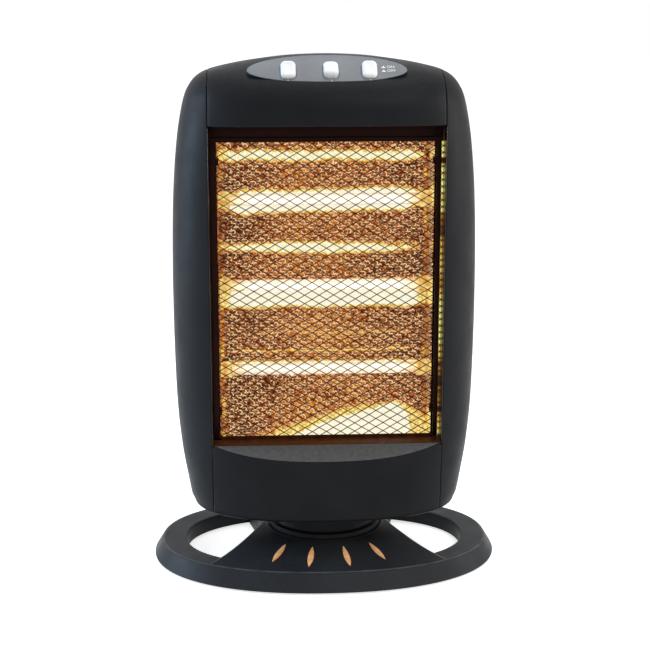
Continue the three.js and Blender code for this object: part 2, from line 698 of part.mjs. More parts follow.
function buildLamps() {
  const capEnd = plateX - seatGap;
  const capStart = capEnd - capLength;
  const capRadius = lampRadius + seatGap + capWall;
  const lampHalf = capStart + lampSeat;
  lampHeights.forEach((z, i) => {
    const place = (solid) => solid.translate([0, lampY, z]);
    const tube = ring(lampRadius - lampGlass, lampRadius, -lampHalf, lampHalf, smallFacets)
      .rotate([0, 90, 0]);
    addPiece(`lamp_tube_${i + 1}`, place(tube), quartz);
    const filamentHalf = capStart + capSocket - seatGap;
    addPiece(`lamp_filament_${i + 1}`,
      place(rodAlong('x', filamentRadius, -filamentHalf, filamentHalf, 12)), glowing);
    [-1, 1].forEach((side) => {
      const cap = turned([[0, capStart + capSocket], [lampRadius + seatGap, capStart + capSocket],
        [lampRadius + seatGap, capStart], [capRadius, capStart], [capRadius, capEnd],
        [0, capEnd]], smallFacets).rotate([0, side * 90, 0]);
      addPiece(`lamp_cap_${i + 1}_${side < 0 ? 'left' : 'right'}`, place(cap), ceramic);
    });
  });

  const lipY = guardY + guardBarThickness + 2 * seatGap;
  const line = [[lipY, trayBottom - trayLip]];
  const last = lampHeights.length - 1;
  lampHeights.slice().reverse().forEach((z, trough) => {
    for (let i = trough ? 1 : 0; i <= troughSteps; i += 1) {
      const u = (i / troughSteps) * 2 - 1;
      let height = z + (u * lampPitch) / 2;
      if (trough === 0 && u < 0) height = z + u * (z - trayBottom);
      if (trough === last && u > 0) height = z + u * (trayTop - z);
      line.push([reflectorBack - reflectorDepth * Math.abs(u) ** troughCurve, height]);
    }
  });
  line.push([lipY, trayTop + trayLip]);
  const back = line.map(([y, z], i) => {
    if (i === 0) return [y, z - sheet];
    return i === line.length - 1 ? [y, z + sheet] : [y + sheet, z];
  });
  back[1][1] -= sheet;
  back[back.length - 2][1] += sheet;
  back.reverse();
  addPiece('reflector', prismX([...line, ...back], -plateX + seatGap, plateX - seatGap), mirror);

  [-1, 1].forEach((side) => {
    const plate = sideBox(side, [plateX, plateX + sheet],
      [guardY + platesSetBack, shieldY - seatGap], [trayBottom - trayLip, trayTop + trayLip]);
    addPiece(side < 0 ? 'side_plate_left' : 'side_plate_right', plate, mirror);
  });
  addPiece('heat_shield', box([-plateX - sheet, shieldY, trayBottom],
    [plateX + sheet, shieldY + sheet, trayTop]), steel);
  const cutoutY = shieldY + sheet + seatGap;
  const cutoutTop = trayTop - cutout.below;
  addPiece('thermal_cutout', box([-cutout.halfWidth, cutoutY, cutoutTop - cutout.height],
    [cutout.halfWidth, cutoutY + cutout.depth, cutoutTop]), black);
  const { x, y, width, depth, height: blockHeight } = terminals;
  const blockLow = panHigh + seatGap;
  addPiece('terminal_block', box([x, y, blockLow], [x + width, y + depth, blockLow + blockHeight]),
    white);
}

// ---- guard ----
function buildGuard() {
  const railY = [guardY, guardY + guardBarThickness];
  const netTop = openingTop - 2 * seatGap;
  const netBottom = openingBottom + seatGap;
  const clipFront = railY[1] + seatGap;
  const clipEdge = seamX - seatGap;
  const clipHeights = [openingBottom + clipInsets[0], openingTop - clipInsets[1]];
  [-1, 1].forEach((side) => {
    const word = side < 0 ? 'left' : 'right';
    addPiece(`guard_bar_${word}`, sideBox(side, [guardSpan - guardBar, guardSpan], railY,
      [netBottom, netTop - guardRail - seatGap]), black);
    clipHeights.forEach((z, i) => {
      const across = [z - clipHeight / 2, z + clipHeight / 2];
      const front = sideBox(side, [seamX - clipReach, clipEdge],
        [clipFront, clipFront + clipDepth], across);
      const tail = sideBox(side, [plateX + sheet + seatGap, clipEdge],
        [clipFront, clipFront + clipLength], across);
      addPiece(`guard_clip_${word}_${i + 1}`, front.add(tail), black);
    });
  });
  addPiece('guard_rail_top', box([-guardSpan, railY[0], netTop - guardRail],
    [guardSpan, railY[1], netTop]), black);

  const netBack = guardY - seatGap;
  const width = 2 * (seamX - 2 * seatGap);
  const height = netTop - netBottom;
  const pitchX = width / netColumns;
  const pitchZ = height / netRows;
  const slant = Math.hypot(pitchX, pitchZ);
  const gapX = pitchX / 2 - (netWire * slant) / pitchZ / 2;
  const gapZ = pitchZ / 2 - (netWire * slant) / pitchX / 2;
  const middle = (netTop + netBottom) / 2;
  const diamond = new THREE.Shape([[-gapX, 0], [0, gapZ], [gapX, 0], [0, -gapZ]]
    .map(([x, z]) => new THREE.Vector2(x, z)));
  const punch = new THREE.ExtrudeGeometry(diamond, { depth: 3 * netWire, bevelEnabled: false })
    .rotateX(Math.PI / 2).translate(0, netBack + netWire, middle);
  const punches = [];
  for (let row = 1; row < 2 * netRows; row += 1) {
    const across = row % 2 ? netColumns : netColumns - 1;
    for (let column = 0; column < across; column += 1) {
      const x = pitchX * (column - (across - 1) / 2);
      punches.push(punch.clone().translate(x, 0, (pitchZ * row - height) / 2));
    }
  }
  const net = box([-width / 2, netBack - netWire, netBottom], [width / 2, netBack, netTop])
    .subtract(toSolid(mergeGeometries(punches)));
  addPiece('guard_mesh', net, black);
}

buildBase();
buildTipSwitch();
buildSwivel();
buildLowerPanel();
buildHead();
buildPillars();
buildRearCover();
buildFloorPan();
buildControls();
buildLamps();
buildGuard();

export default group;
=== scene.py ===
import math

import bmesh
import bpy
from mathutils import Matrix, Vector


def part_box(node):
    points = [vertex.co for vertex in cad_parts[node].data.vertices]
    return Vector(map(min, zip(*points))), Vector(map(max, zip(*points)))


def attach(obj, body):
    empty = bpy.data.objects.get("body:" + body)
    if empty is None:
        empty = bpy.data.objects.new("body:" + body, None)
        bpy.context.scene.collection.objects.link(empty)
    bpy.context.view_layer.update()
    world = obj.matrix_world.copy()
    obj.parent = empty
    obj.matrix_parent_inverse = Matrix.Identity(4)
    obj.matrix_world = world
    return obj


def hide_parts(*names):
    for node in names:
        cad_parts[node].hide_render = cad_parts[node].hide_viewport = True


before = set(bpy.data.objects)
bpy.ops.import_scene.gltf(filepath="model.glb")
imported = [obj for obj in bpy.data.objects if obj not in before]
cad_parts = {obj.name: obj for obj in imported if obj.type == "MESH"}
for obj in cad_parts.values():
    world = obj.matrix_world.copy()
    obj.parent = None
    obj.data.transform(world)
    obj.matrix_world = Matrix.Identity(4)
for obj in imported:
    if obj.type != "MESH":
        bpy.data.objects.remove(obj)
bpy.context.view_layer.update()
print("frame loaded")

mm = 0.001

# the camera stands where the photograph was taken from
cameraValues = {
    "azimuth": -3.18,  # degrees
    "elevation": 13.33,
    "distance": 1.527,
    "aim": (0.0009, 0, 0.233),
    "lens": 86.25,  # mm on a 36 mm sensor
}


def makeCamera(v):
    data = bpy.data.cameras.new("camera")
    data.sensor_width = 36
    data.lens = v["lens"]
    data.clip_start, data.clip_end = 0.05, 30
    camera = bpy.data.objects.new("camera", data)
    bpy.context.scene.collection.objects.link(camera)
    turn, rise = math.radians(v["azimuth"]), math.radians(v["elevation"])
    back = Vector((math.sin(turn) * math.cos(rise), -math.cos(turn) * math.cos(rise), math.sin(rise)))
    camera.location = Vector(v["aim"]) + back * v["distance"]
    camera.rotation_mode = "QUATERNION"
    camera.rotation_quaternion = (-back).to_track_quat("-Z", "Y")
    bpy.context.scene.camera = camera


makeCamera(cameraValues)
bpy.context.scene.view_settings.view_transform = "Standard"


# ---- making pieces
sides = ((-1, "left"), (1, "right"))
creaseAngle = 32  # degrees between two faces from which their edge shows


def markCreases(bm):
    for face in bm.faces:
        face.smooth = True
    for edge in bm.edges:
        edge.smooth = edge.is_manifold and edge.calc_face_angle(0) < math.radians(creaseAngle)


def makeObject(bm, name):
    markCreases(bm)
    mesh = bpy.data.meshes.new(name)
    bm.to_mesh(mesh)
    bm.free()
    made = bpy.data.objects.new(name, mesh)
    bpy.context.scene.collection.objects.link(made)
    return made


def finishPiece(piece, body, look, instead=()):
    piece.data.materials.append(look)
    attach(piece, body)
    if instead:
        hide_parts(*instead)
    return piece


def makePiece(bm, name, body, look, instead=()):
    return finishPiece(makeObject(bm, name), body, look, instead)


def dress(piece, body, look, slot, *nodes):
    # finishes a piece that was cut or joined
    creaseAgain(piece)
    return finishPiece(piece, body, look, nodes)


def creaseAgain(piece):
    bm = bmesh.new()
    bm.from_mesh(piece.data)
    bmesh.ops.remove_doubles(bm, verts=bm.verts, dist=0.01 * mm)
    bmesh.ops.dissolve_degenerate(bm, edges=bm.edges, dist=0.002 * mm)
    markCreases(bm)
    bm.to_mesh(piece.data)
    bm.free()


def paintFaces(piece, look, chosen):
    # gives some of a piece's faces another finish
    piece.data.materials.append(look)
    for polygon in piece.data.polygons:
        if chosen(polygon):
            polygon.material_index = len(piece.data.materials) - 1


def addMesh(target, source):
    # joins one bmesh to another and frees it
    loose = bpy.data.meshes.new("loose")
    source.to_mesh(loose)
    source.free()
    target.from_mesh(loose)
    bpy.data.meshes.remove(loose)


def faceOutwards(bm, mergeDistance=0.02 * mm):
    bmesh.ops.remove_doubles(bm, verts=bm.verts, dist=mergeDistance)
    bmesh.ops.dissolve_degenerate(bm, edges=bm.edges, dist=mergeDistance / 4)
    bmesh.ops.recalc_face_normals(bm, faces=bm.faces)


def mappedGrid(columns, rows, place):
    # a flat grid whose points go to place(u, v), with u and v from 0 to 1
    bm = bmesh.new()
    bmesh.ops.create_grid(bm, x_segments=columns, y_segments=rows, size=0.5)
    for vert in bm.verts:
        vert.co = place(vert.co.x + 0.5, vert.co.y + 0.5)
    bm.normal_update()
    return bm


def giveWall(bm, thickness, away=None):
    # away: a point inside the object that the outer skin turns its back to
    bm.normal_update()
    if away is not None:
        face = max(bm.faces, key=lambda f: f.calc_area())
        if face.normal.dot(face.calc_center_median() - Vector(away)) < 0:
            bmesh.ops.reverse_faces(bm, faces=bm.faces)
    bmesh.ops.solidify(bm, geom=bm.faces[:], thickness=thickness)


def roundEdges(bm, radius, angle=40, segments=3, keep=lambda edge: True):
    sharp = [
        edge for edge in bm.edges
        if edge.is_manifold and edge.calc_face_angle(0) > math.radians(angle) and keep(edge)
    ]
    bmesh.ops.bevel(
        bm, geom=sharp, offset=radius, offset_type="OFFSET", affect="EDGES",
        segments=segments, profile=0.5, material=-1, clamp_overlap=False,
    )


def boxMesh(low, high, bm=None):
    bm = bm or bmesh.new()
    low, high = Vector(low), Vector(high)
    made = bmesh.ops.create_cube(bm, size=1)["verts"]
    bmesh.ops.scale(bm, vec=high - low, verts=made)
    bmesh.ops.translate(bm, vec=(high + low) / 2, verts=made)
    return bm


def roundedBox(low, high, radius, segments=1):
    bm = boxMesh(low, high)
    roundEdges(bm, radius, segments=segments)
    return bm


def turnedMesh(profile, steps, closed=True):
    # a profile of (radius, z) spun about the Z axis
    bm = bmesh.new()
    verts = [bm.verts.new((r, 0, z)) for r, z in profile]
    nexts = verts[1:] + verts[:1] if closed else verts[1:]
    edges = [bm.edges.new(pair) for pair in zip(verts, nexts)]
    bmesh.ops.spin(
        bm, geom=verts + edges, cent=(0, 0, 0), axis=(0, 0, 1), angle=2 * math.pi,
        steps=steps, use_merge=True,
    )
    faceOutwards(bm)
    return bm


def prismMesh(outline, low, high, bm=None):
    # an outline of (x, y), drawn up from low to high
    bm = bm or bmesh.new()
    face = bm.faces.new([bm.verts.new((x, y, low)) for x, y in outline])
    raised = bmesh.ops.extrude_face_region(bm, geom=[face])["geom"]
    tops = [item for item in raised if isinstance(item, bmesh.types.BMVert)]
    bmesh.ops.translate(bm, vec=(0, 0, high - low), verts=tops)
    bmesh.ops.recalc_face_normals(bm, faces=bm.faces)
    return bm


def combine(target, cutterMesh, operation):
    # applies a boolean at once, so that no cutter stays in the scene
    cutter = makeObject(cutterMesh, "cutter")
    modifier = target.modifiers.new("cut", "BOOLEAN")
    modifier.operation = operation
    modifier.solver = "MANIFOLD"
    modifier.object = cutter
    graph = bpy.context.evaluated_depsgraph_get()
    cutMesh = bpy.data.meshes.new_from_object(target.evaluated_get(graph))
    target.modifiers.clear()
    oldMesh = target.data
    target.data = cutMesh
    cutMesh.name = target.name
    cutMesh.materials.clear()
    for polygon in cutMesh.polygons:
        polygon.material_index = 0
    bpy.data.meshes.remove(oldMesh)
    bpy.data.objects.remove(cutter)


def roundedCorner(before, corner, after, radius, steps=4):
    # the arc that rounds a corner of a path in the YZ plane
    a, b = (before - corner).normalized(), (after - corner).normalized()
    opening = a.angle(b)
    reach = min(radius / math.tan(opening / 2), 0.45 * (after - corner).length)
    start, end = corner + a * reach, corner + b * reach
    arc = []
    for i in range(steps + 1):
        t = i / steps
        arc.append((1 - t) ** 2 * start + 2 * t * (1 - t) * corner + t ** 2 * end)
    return arc, reach


def evenly(points, count):
    # count + 1 points at even steps along a line of points
    lengths = [0]
    for a, b in zip(points, points[1:]):
        lengths.append(lengths[-1] + (b - a).length)
    spread, i = [], 0
    for k in range(count + 1):
        want = lengths[-1] * k / count
        while i < len(points) - 2 and lengths[i + 1] < want:
            i += 1
        span = max(lengths[i + 1] - lengths[i], 1e-9)
        spread.append(points[i].lerp(points[i + 1], min(1, max(0, (want - lengths[i]) / span))))
    return spread


# ---- the body's outer form
bodyValues = {
    "bottom": 58 * mm,
    "front": 82 * mm,
    "back": 58 * mm,
    "frontCurve": 2.42,  # superellipse exponents in plan
    "backCurve": 3.0,
    "edge": 3.5 * mm,
    "frontRoll": (446 * mm, 50 * mm),  # where the top starts to roll over, and its height
    "backRoll": (440 * mm, 56 * mm),
    "seam": 110 * mm,  # half width of the front pieces
    "joint": 18 * mm,  # the rear cover starts here
    "gap": 0.3 * mm,
    "openingBottom": 130 * mm,
    "openingTop": 433.5 * mm,
    "topSlope": 0.1,
    "sillDrop": 10.5 * mm,
    "guard": -40 * mm,
    # half width at a height, from the bottom up
    "silhouette": [
        (129.5, 61.5), (132, 66), (136.4, 90), (140.8, 118), (144.5, 160), (146.2, 220),
        (146.5, 280), (145.7, 331), (143.8, 375), (140.6, 412), (137, 437), (132.8, 456),
        (128.5, 466), (122, 474.5), (113, 480.2), (100, 484.3), (75, 489.4), (40, 494.1),
        (12, 495.8),
    ],
}


def smoothLine(points, steps):
    # a Catmull-Rom curve through the points
    line = []
    last = len(points) - 1
    for i in range(last):
        p = [Vector(points[min(max(k, 0), last)]) for k in (i - 1, i, i + 1, i + 2)]
        for s in range(steps if i < last - 1 else steps + 1):
            t = s / steps
            line.append(0.5 * (
                2 * p[1] + (p[2] - p[0]) * t + (2 * p[0] - 5 * p[1] + 4 * p[2] - p[3]) * t ** 2
                + (3 * p[1] - p[0] - 3 * p[2] + p[3]) * t ** 3
            ))
    return line


silhouetteLine = [point * mm for point in smoothLine(bodyValues["silhouette"], 12)]
bodyTop = silhouetteLine[-1].y + 0.2 * mm


def halfWidth(z):
    v = bodyValues
    if z <= v["bottom"] + v["edge"]:
        rise = max(0, 1 - (z - v["bottom"]) / v["edge"])
        return silhouetteLine[0].x - v["edge"] * (1 - math.sqrt(max(0, 1 - rise ** 2)))
    for a, b in zip(silhouetteLine, silhouetteLine[1:]):
        if a.y <= z <= b.y:
            return a.x + (b.x - a.x) * (z - a.y) / max(b.y - a.y, 1e-9)
    return silhouetteLine[-1].x * max(0, (bodyTop - z) / (bodyTop - silhouetteLine[-1].y))


def depthAt(z, side):
    # how far the body reaches forward or back at a height, on its centre line
    v = bodyValues
    start, height = v[side + "Roll"]
    rise = max(0, min(1, (z - start) / height))
    foot = max(0, 1 - (z - v["bottom"]) / v["edge"])
    return v[side] * math.sqrt(1 - rise ** 2) - v["edge"] * (1 - math.sqrt(max(0, 1 - foot ** 2)))


def surfaceY(x, z, side):
    # the skin's y at a place: negative in front
    width = halfWidth(z)
    share = min(1, abs(x) / width) if width > 0 else 1
    curve = bodyValues[side + "Curve"]
    y = depthAt(z, side) * (1 - share ** curve) ** (1 / curve)
    return -y if side == "front" else y


def topHeight(x):
    # where the silhouette passes a distance from the middle, near the top
    for a, b in zip(reversed(silhouetteLine[:-1]), reversed(silhouetteLine)):
        if b.x <= abs(x) <= a.x:
            return b.y + (a.y - b.y) * (abs(x) - b.x) / max(a.x - b.x, 1e-9)
    return bodyTop


seamFrontY = surfaceY(bodyValues["seam"], 0.28, "front")  # the skin beside the opening, half way up


# ---- finishes
def newGroup(name, inputs, outputs):
    group = bpy.data.node_groups.new(name, "ShaderNodeTree")
    for direction, sockets in (("INPUT", inputs), ("OUTPUT", outputs)):
        for title, kind, value in sockets:
            socket = group.interface.new_socket(
                title, in_out=direction, socket_type="NodeSocket" + kind)
            if value is not None:
                socket.default_value = value
    entry, leave = group.nodes.new("NodeGroupInput"), group.nodes.new("NodeGroupOutput")
    return group, entry.outputs, leave.inputs


def feed(tree, socket, value):
    # a link where the value is a socket, a plain number or colour otherwise
    if isinstance(value, bpy.types.NodeSocket):
        tree.links.new(value, socket)
    elif value is not None:
        socket.default_value = value


def maths(tree, operation, first, second=None, third=None, clamp=False):
    node = tree.nodes.new("ShaderNodeMath")
    node.operation = operation
    node.use_clamp = clamp
    for socket, value in zip(node.inputs, (first, second, third)):
        feed(tree, socket, value)
    return node.outputs[0]


def placeGroup(tree, group, **values):
    node = tree.nodes.new("ShaderNodeGroup")
    node.node_tree = group
    for title, value in values.items():
        feed(tree, node.inputs[title], value)
    return node.outputs


def noise(tree, place, scale, detail=2, roughness=0.5):
    node = tree.nodes.new("ShaderNodeTexNoise")
    node.inputs["Detail"].default_value = detail
    node.inputs["Roughness"].default_value = roughness
    feed(tree, node.inputs["Vector"], place)
    feed(tree, node.inputs["Scale"], scale)
    return node.outputs["Fac"]


def fit(tree, value, low, high, start=0, end=1, smooth=False):
    node = tree.nodes.new("ShaderNodeMapRange")
    node.interpolation_type = "SMOOTHSTEP" if smooth else "LINEAR"
    for title, number in (("Value", value), ("From Min", low), ("From Max", high),
                          ("To Min", start), ("To Max", end)):
        feed(tree, node.inputs[title], number)
    return node.outputs["Result"]


def mixColours(tree, factor, first, second):
    node = tree.nodes.new("ShaderNodeMix")
    node.data_type = "RGBA"
    feed(tree, node.inputs["Factor"], factor)
    feed(tree, node.inputs["A"], first)
    feed(tree, node.inputs["B"], second)
    return node.outputs["Result"]


def makeGrain():
    # fine spark-eroded texture of a mould
    tree, get, give = newGroup(
        "mouldGrain", [("Place", "Vector", None), ("Grain", "Float", 2200.0), ("Wave", "Float", 90.0)],
        [("Height", "Float", None)])
    fine = noise(tree, get["Place"], get["Grain"], 3, 0.6)
    slow = noise(tree, get["Place"], get["Wave"], 1)
    tree.links.new(maths(tree, "MULTIPLY_ADD", slow, 0.35, fine), give["Height"])
    return tree


def makeTone():
    # colour that drifts a little, with a sheen that drifts with it
    tree, get, give = newGroup(
        "slowTone",
        [("Place", "Vector", None), ("First", "Color", None), ("Second", "Color", None),
         ("Scale", "Float", 18.0), ("Smooth", "Float", 0.3), ("Rough", "Float", 0.45)],
        [("Color", "Color", None), ("Roughness", "Float", None)])
    drift = fit(tree, noise(tree, get["Place"], get["Scale"], 3), 0.35, 0.65)
    tree.links.new(mixColours(tree, drift, get["First"], get["Second"]), give["Color"])
    smear = noise(tree, get["Place"], maths(tree, "MULTIPLY", get["Scale"], 2.7), 4, 0.6)
    tree.links.new(fit(tree, smear, 0.3, 0.7, get["Smooth"], get["Rough"]), give["Roughness"])
    return tree


def makeDust():
    # a little dust that lies on faces that look up
    tree, get, give = newGroup(
        "dust", [("Place", "Vector", None), ("Color", "Color", None), ("Amount", "Float", 0.06)],
        [("Color", "Color", None)])
    geometry = tree.nodes.new("ShaderNodeNewGeometry")
    parts = tree.nodes.new("ShaderNodeSeparateXYZ")
    tree.links.new(geometry.outputs["Normal"], parts.inputs[0])
    upwards = fit(tree, parts.outputs["Z"], 0.3, 1, smooth=True)
    specks = fit(tree, noise(tree, get["Place"], 700, 4, 0.7), 0.5, 0.75)
    mask = maths(tree, "MULTIPLY", maths(tree, "MULTIPLY", upwards, specks), get["Amount"])
    dustColour = (0.42, 0.41, 0.39, 1)
    tree.links.new(mixColours(tree, mask, get["Color"], dustColour), give["Color"])
    return tree


mouldGrain, slowTone, dust = makeGrain(), makeTone(), makeDust()


def startFinish(name):
    material = bpy.data.materials.new(name)
    material.use_nodes = True
    tree = material.node_tree
    place = tree.nodes.new("ShaderNodeTexCoord").outputs["Object"]
    return material, tree, place, tree.nodes["Principled BSDF"]


def placeInMm(tree, place):
    axes = tree.nodes.new("ShaderNodeSeparateXYZ")
    tree.links.new(place, axes.inputs[0])
    return [maths(tree, "MULTIPLY", output, 1000) for output in axes.outputs]


def rampColour(tree, level, stops):
    ramp = tree.nodes.new("ShaderNodeValToRGB")
    made = ramp.color_ramp.elements
    while len(made) < len(stops):
        made.new(0.5)
    for stop, (position, colour) in zip(made, stops):
        stop.position = position
        stop.color = (*colour, 1)
    tree.links.new(level, ramp.inputs["Fac"])
    return ramp.outputs["Color"]


def addGrain(tree, place, shader, scale, strength):
    grain = placeGroup(tree, mouldGrain, Place=place, Grain=scale)
    bump = tree.nodes.new("ShaderNodeBump")
    bump.inputs["Strength"].default_value = strength
    bump.inputs["Distance"].default_value = 0.06 * mm
    tree.links.new(grain["Height"], bump.inputs["Height"])
    tree.links.new(bump.outputs["Normal"], shader.inputs["Normal"])


def addTone(tree, place, v, drift=18.0):
    return placeGroup(
        tree, slowTone, Place=place, First=(*v["colour"], 1), Second=(*v["second"], 1),
        Scale=v.get("drift", drift), Smooth=v["rough"][0], Rough=v["rough"][1])


def makePlastic(name, v):
    material, tree, place, shader = startFinish(name)
    tone = addTone(tree, place, v)
    colour = tone["Color"]
    if v.get("dust"):
        colour = placeGroup(tree, dust, Place=place, Color=colour, Amount=v["dust"])["Color"]
    tree.links.new(colour, shader.inputs["Base Color"])
    tree.links.new(tone["Roughness"], shader.inputs["Roughness"])
    shader.inputs["IOR"].default_value = v.get("ior", 1.45)
    shader.inputs["Specular Tint"].default_value = (*v.get("tint", (1, 1, 1)), 1)
    addGrain(tree, place, shader, v.get("grain", 2200.0), v.get("bump", 0.3))
    return material


def makeMetal(name, v):
    material, tree, place, shader = startFinish(name)
    stretch = tree.nodes.new("ShaderNodeMapping")
    stretch.inputs["Scale"].default_value = v.get("stretch", (1, 1, 1))
    tree.links.new(place, stretch.inputs["Vector"])
    tone = addTone(tree, stretch.outputs["Vector"], v, 60.0)
    tree.links.new(tone["Color"], shader.inputs["Base Color"])
    tree.links.new(tone["Roughness"], shader.inputs["Roughness"])
    shader.inputs["Metallic"].default_value = 1
    return material


plasticValues = {
    "charcoalSatin": {"colour": (0.0062, 0.0068, 0.0082), "second": (0.0088, 0.0095, 0.0112),
                      "rough": (0.42, 0.54), "ior": 1.2, "dust": 0.05},
    "blackPlastic": {"colour": (0.006, 0.006, 0.007), "second": (0.011, 0.011, 0.012),
                     "rough": (0.42, 0.55), "ior": 1.2, "grain": 1500.0},
    # tint: the glow of the lamps colours what these three mirror, a painted reflection
    "blackEnamel": {"colour": (0.011, 0.004, 0.003), "second": (0.017, 0.006, 0.005),
                    "rough": (0.3, 0.42), "ior": 1.16, "grain": 3200.0, "bump": 0.15,
                    "tint": (1, 0.6, 0.5)},
    # reddish brown base colour: painted light of the lamps on the net's wires
    "lampLitEnamel": {"colour": (0.045, 0.012, 0.005), "second": (0.075, 0.021, 0.009),
                  "rough": (0.4, 0.5), "ior": 1.12, "grain": 3200.0, "bump": 0.15,
                  "tint": (1, 0.5, 0.35)},
    # brown base colour: painted reflection of the lamps' glow on the ledge and on the strip under the
    # reflector
    "ledgeGlowReflection": {"colour": (0.055, 0.015, 0.005), "second": (0.085, 0.025, 0.009),
                   "rough": (0.3, 0.42), "ior": 1.14, "bump": 0.1, "drift": 160.0,
                   "tint": (1, 0.5, 0.24)},
    "glossBlack": {"colour": (0.006, 0.003, 0.002), "second": (0.01, 0.005, 0.003),
                   "rough": (0.16, 0.26), "ior": 1.7, "bump": 0.1},
    "slatePlastic": {"colour": (0.13, 0.147, 0.168), "second": (0.155, 0.172, 0.192),
                     "rough": (0.34, 0.44), "drift": 26.0},
    "whitePlastic": {"colour": (0.86, 0.865, 0.87), "second": (0.9, 0.9, 0.9),
                     "rough": (0.22, 0.32), "bump": 0.08, "drift": 60.0},
    "amberPlastic": {"colour": (0.82, 0.38, 0.13), "second": (0.95, 0.56, 0.27),
                     "rough": (0.25, 0.35), "bump": 0.1, "drift": 190.0},
    # dark red: painted shade at the edge of each amber insert
    "slotRimShade": {"colour": (0.02, 0.004, 0.003), "second": (0.045, 0.012, 0.008),
                   "rough": (0.4, 0.5), "drift": 150.0},
    "footRubber": {"colour": (0.008, 0.008, 0.008), "second": (0.014, 0.014, 0.014),
                   "rough": (0.75, 0.9), "ior": 1.2, "grain": 900.0, "bump": 0.6},
    # lighter grey: painted light on the sill's upward faces
    "sillLitGrey": {"colour": (0.084, 0.086, 0.088), "second": (0.108, 0.109, 0.11),
                  "rough": (0.4, 0.52), "ior": 1.25, "drift": 260.0},
    "whitePrint": {"colour": (0.9, 0.9, 0.9), "second": (0.82, 0.82, 0.82),
                   "rough": (0.4, 0.5), "drift": 400.0},
}
metalValues = {
    "zincSteel": {"colour": (0.5, 0.51, 0.53), "second": (0.64, 0.65, 0.66),
                  "rough": (0.28, 0.42), "stretch": (1, 1, 6)},
    "screwSteel": {"colour": (0.16, 0.16, 0.17), "second": (0.26, 0.26, 0.27), "rough": (0.3, 0.42)},
}
finish = {name: makePlastic(name, v) for name, v in plasticValues.items()}
finish.update({name: makeMetal(name, v) for name, v in metalValues.items()})
print("plain finishes made")


# ---- light, floor and background
studioValues = {
    "world": 0.52,  # strength on the object
    "floorColour": (0.8, 0.8, 0.8),
    "floorLift": 0.72,  # what the camera sees on top of the light that falls there
    "lamps": [  # name, place, size, watts, colour
        ("softLeft", (-1.5, 0.18, 0.66), (0.5, 1.1), 22, (0.56, 0.76, 1)),
        ("softRight", (1.5, 0, 0.62), (0.45, 1), 9, (1, 0.97, 0.95)),
        ("softTop", (0.1, 0.25, 1.9), (1.2, 0.8), 8, (1, 1, 1)),
        ("softFront", (0.7, -1.15, 1.55), (0.8, 0.5), 8, (1, 1, 1)),
    ],
    "aim": (0, 0, 0.27),
}


def makeFloor(v):
    bm = bmesh.new()
    bmesh.ops.create_grid(bm, x_segments=1, y_segments=1, size=8)
    floor = makeObject(bm, "floor")
    material, tree, _, shader = startFinish("paleFloor")
    shader.inputs["Base Color"].default_value = (*v["floorColour"], 1)
    shader.inputs["Roughness"].default_value = 0.9
    shader.inputs["Specular IOR Level"].default_value = 0
    shader.inputs["Emission Color"].default_value = (1, 1, 1, 1)
    seen = seenRays(tree)
    tree.links.new(maths(tree, "MULTIPLY", seen, v["floorLift"]), shader.inputs["Emission Strength"])
    floor.data.materials.append(material)


def seenRays(tree):
    # 1 for what the camera sees, directly, mirrored or through glass
    path = tree.nodes.new("ShaderNodeLightPath").outputs
    rays = maths(tree, "MAXIMUM", path["Is Camera Ray"], path["Is Glossy Ray"])
    return maths(tree, "MAXIMUM", rays, path["Is Transmission Ray"])


def makeWorld(v):
    world = bpy.data.worlds.new("studio")
    world.use_nodes = True
    tree = world.node_tree
    background = tree.nodes["Background"]
    background.inputs["Color"].default_value = (1, 1, 1, 1)
    strength = fit(tree, seenRays(tree), 0, 1, v["world"], 1)
    tree.links.new(strength, background.inputs["Strength"])
    bpy.context.scene.world = world


def makeLamps(v):
    for name, place, size, power, colour in v["lamps"]:
        data = bpy.data.lights.new(name, "AREA")
        data.shape = "RECTANGLE"
        data.size, data.size_y = size
        data.energy, data.color = power, colour
        lamp = bpy.data.objects.new(name, data)
        bpy.context.scene.collection.objects.link(lamp)
        lamp.location = place
        lamp.rotation_mode = "QUATERNION"
        lamp.rotation_quaternion = (Vector(v["aim"]) - Vector(place)).to_track_quat("-Z", "Y")


makeFloor(studioValues)
makeWorld(studioValues)
makeLamps(studioValues)
print("stage lit")


# ---- the body's shells
shellValues = {
    "wall": 2.5 * mm,
    "lipRadius": 1.5 * mm,  # where a face turns inwards
    "seamRadius": 0.8 * mm,
    "columns": 110,
    "pillarLevels": 64,
    "headStart": 0.43,  # levels are spread from here up to the ridge
    "pillarStraight": 0.445,  # even levels up to here, closer ones above
    "soleStart": 0.0616,  # just above the rounded lower edge
    # points inside the body that the skins turn their backs to
    "headInside": (0, 0, 0.44),
    "panelInside": (0, 0, 0.06),
    "rearInside": (0, 0, 0.3),
}
seamGap = bodyValues["gap"] / 2
frontX = bodyValues["seam"] - seamGap
pillarX = bodyValues["seam"] + seamGap
frontJoint = bodyValues["joint"] - seamGap
rearJoint = bodyValues["joint"] + seamGap
ledgeBack = bodyValues["guard"] - 1.6 * mm


def columnsToMesh(columns):
    # columns of points of equal length become one sheet
    across, along = len(columns) - 1, len(columns[0]) - 1

    def place(u, v):
        return columns[round(u * across)][round(v * along)]

    return mappedGrid(across, along, place)


def acrossFront(count):
    return [frontX * (2 * i / count - 1) for i in range(count + 1)]


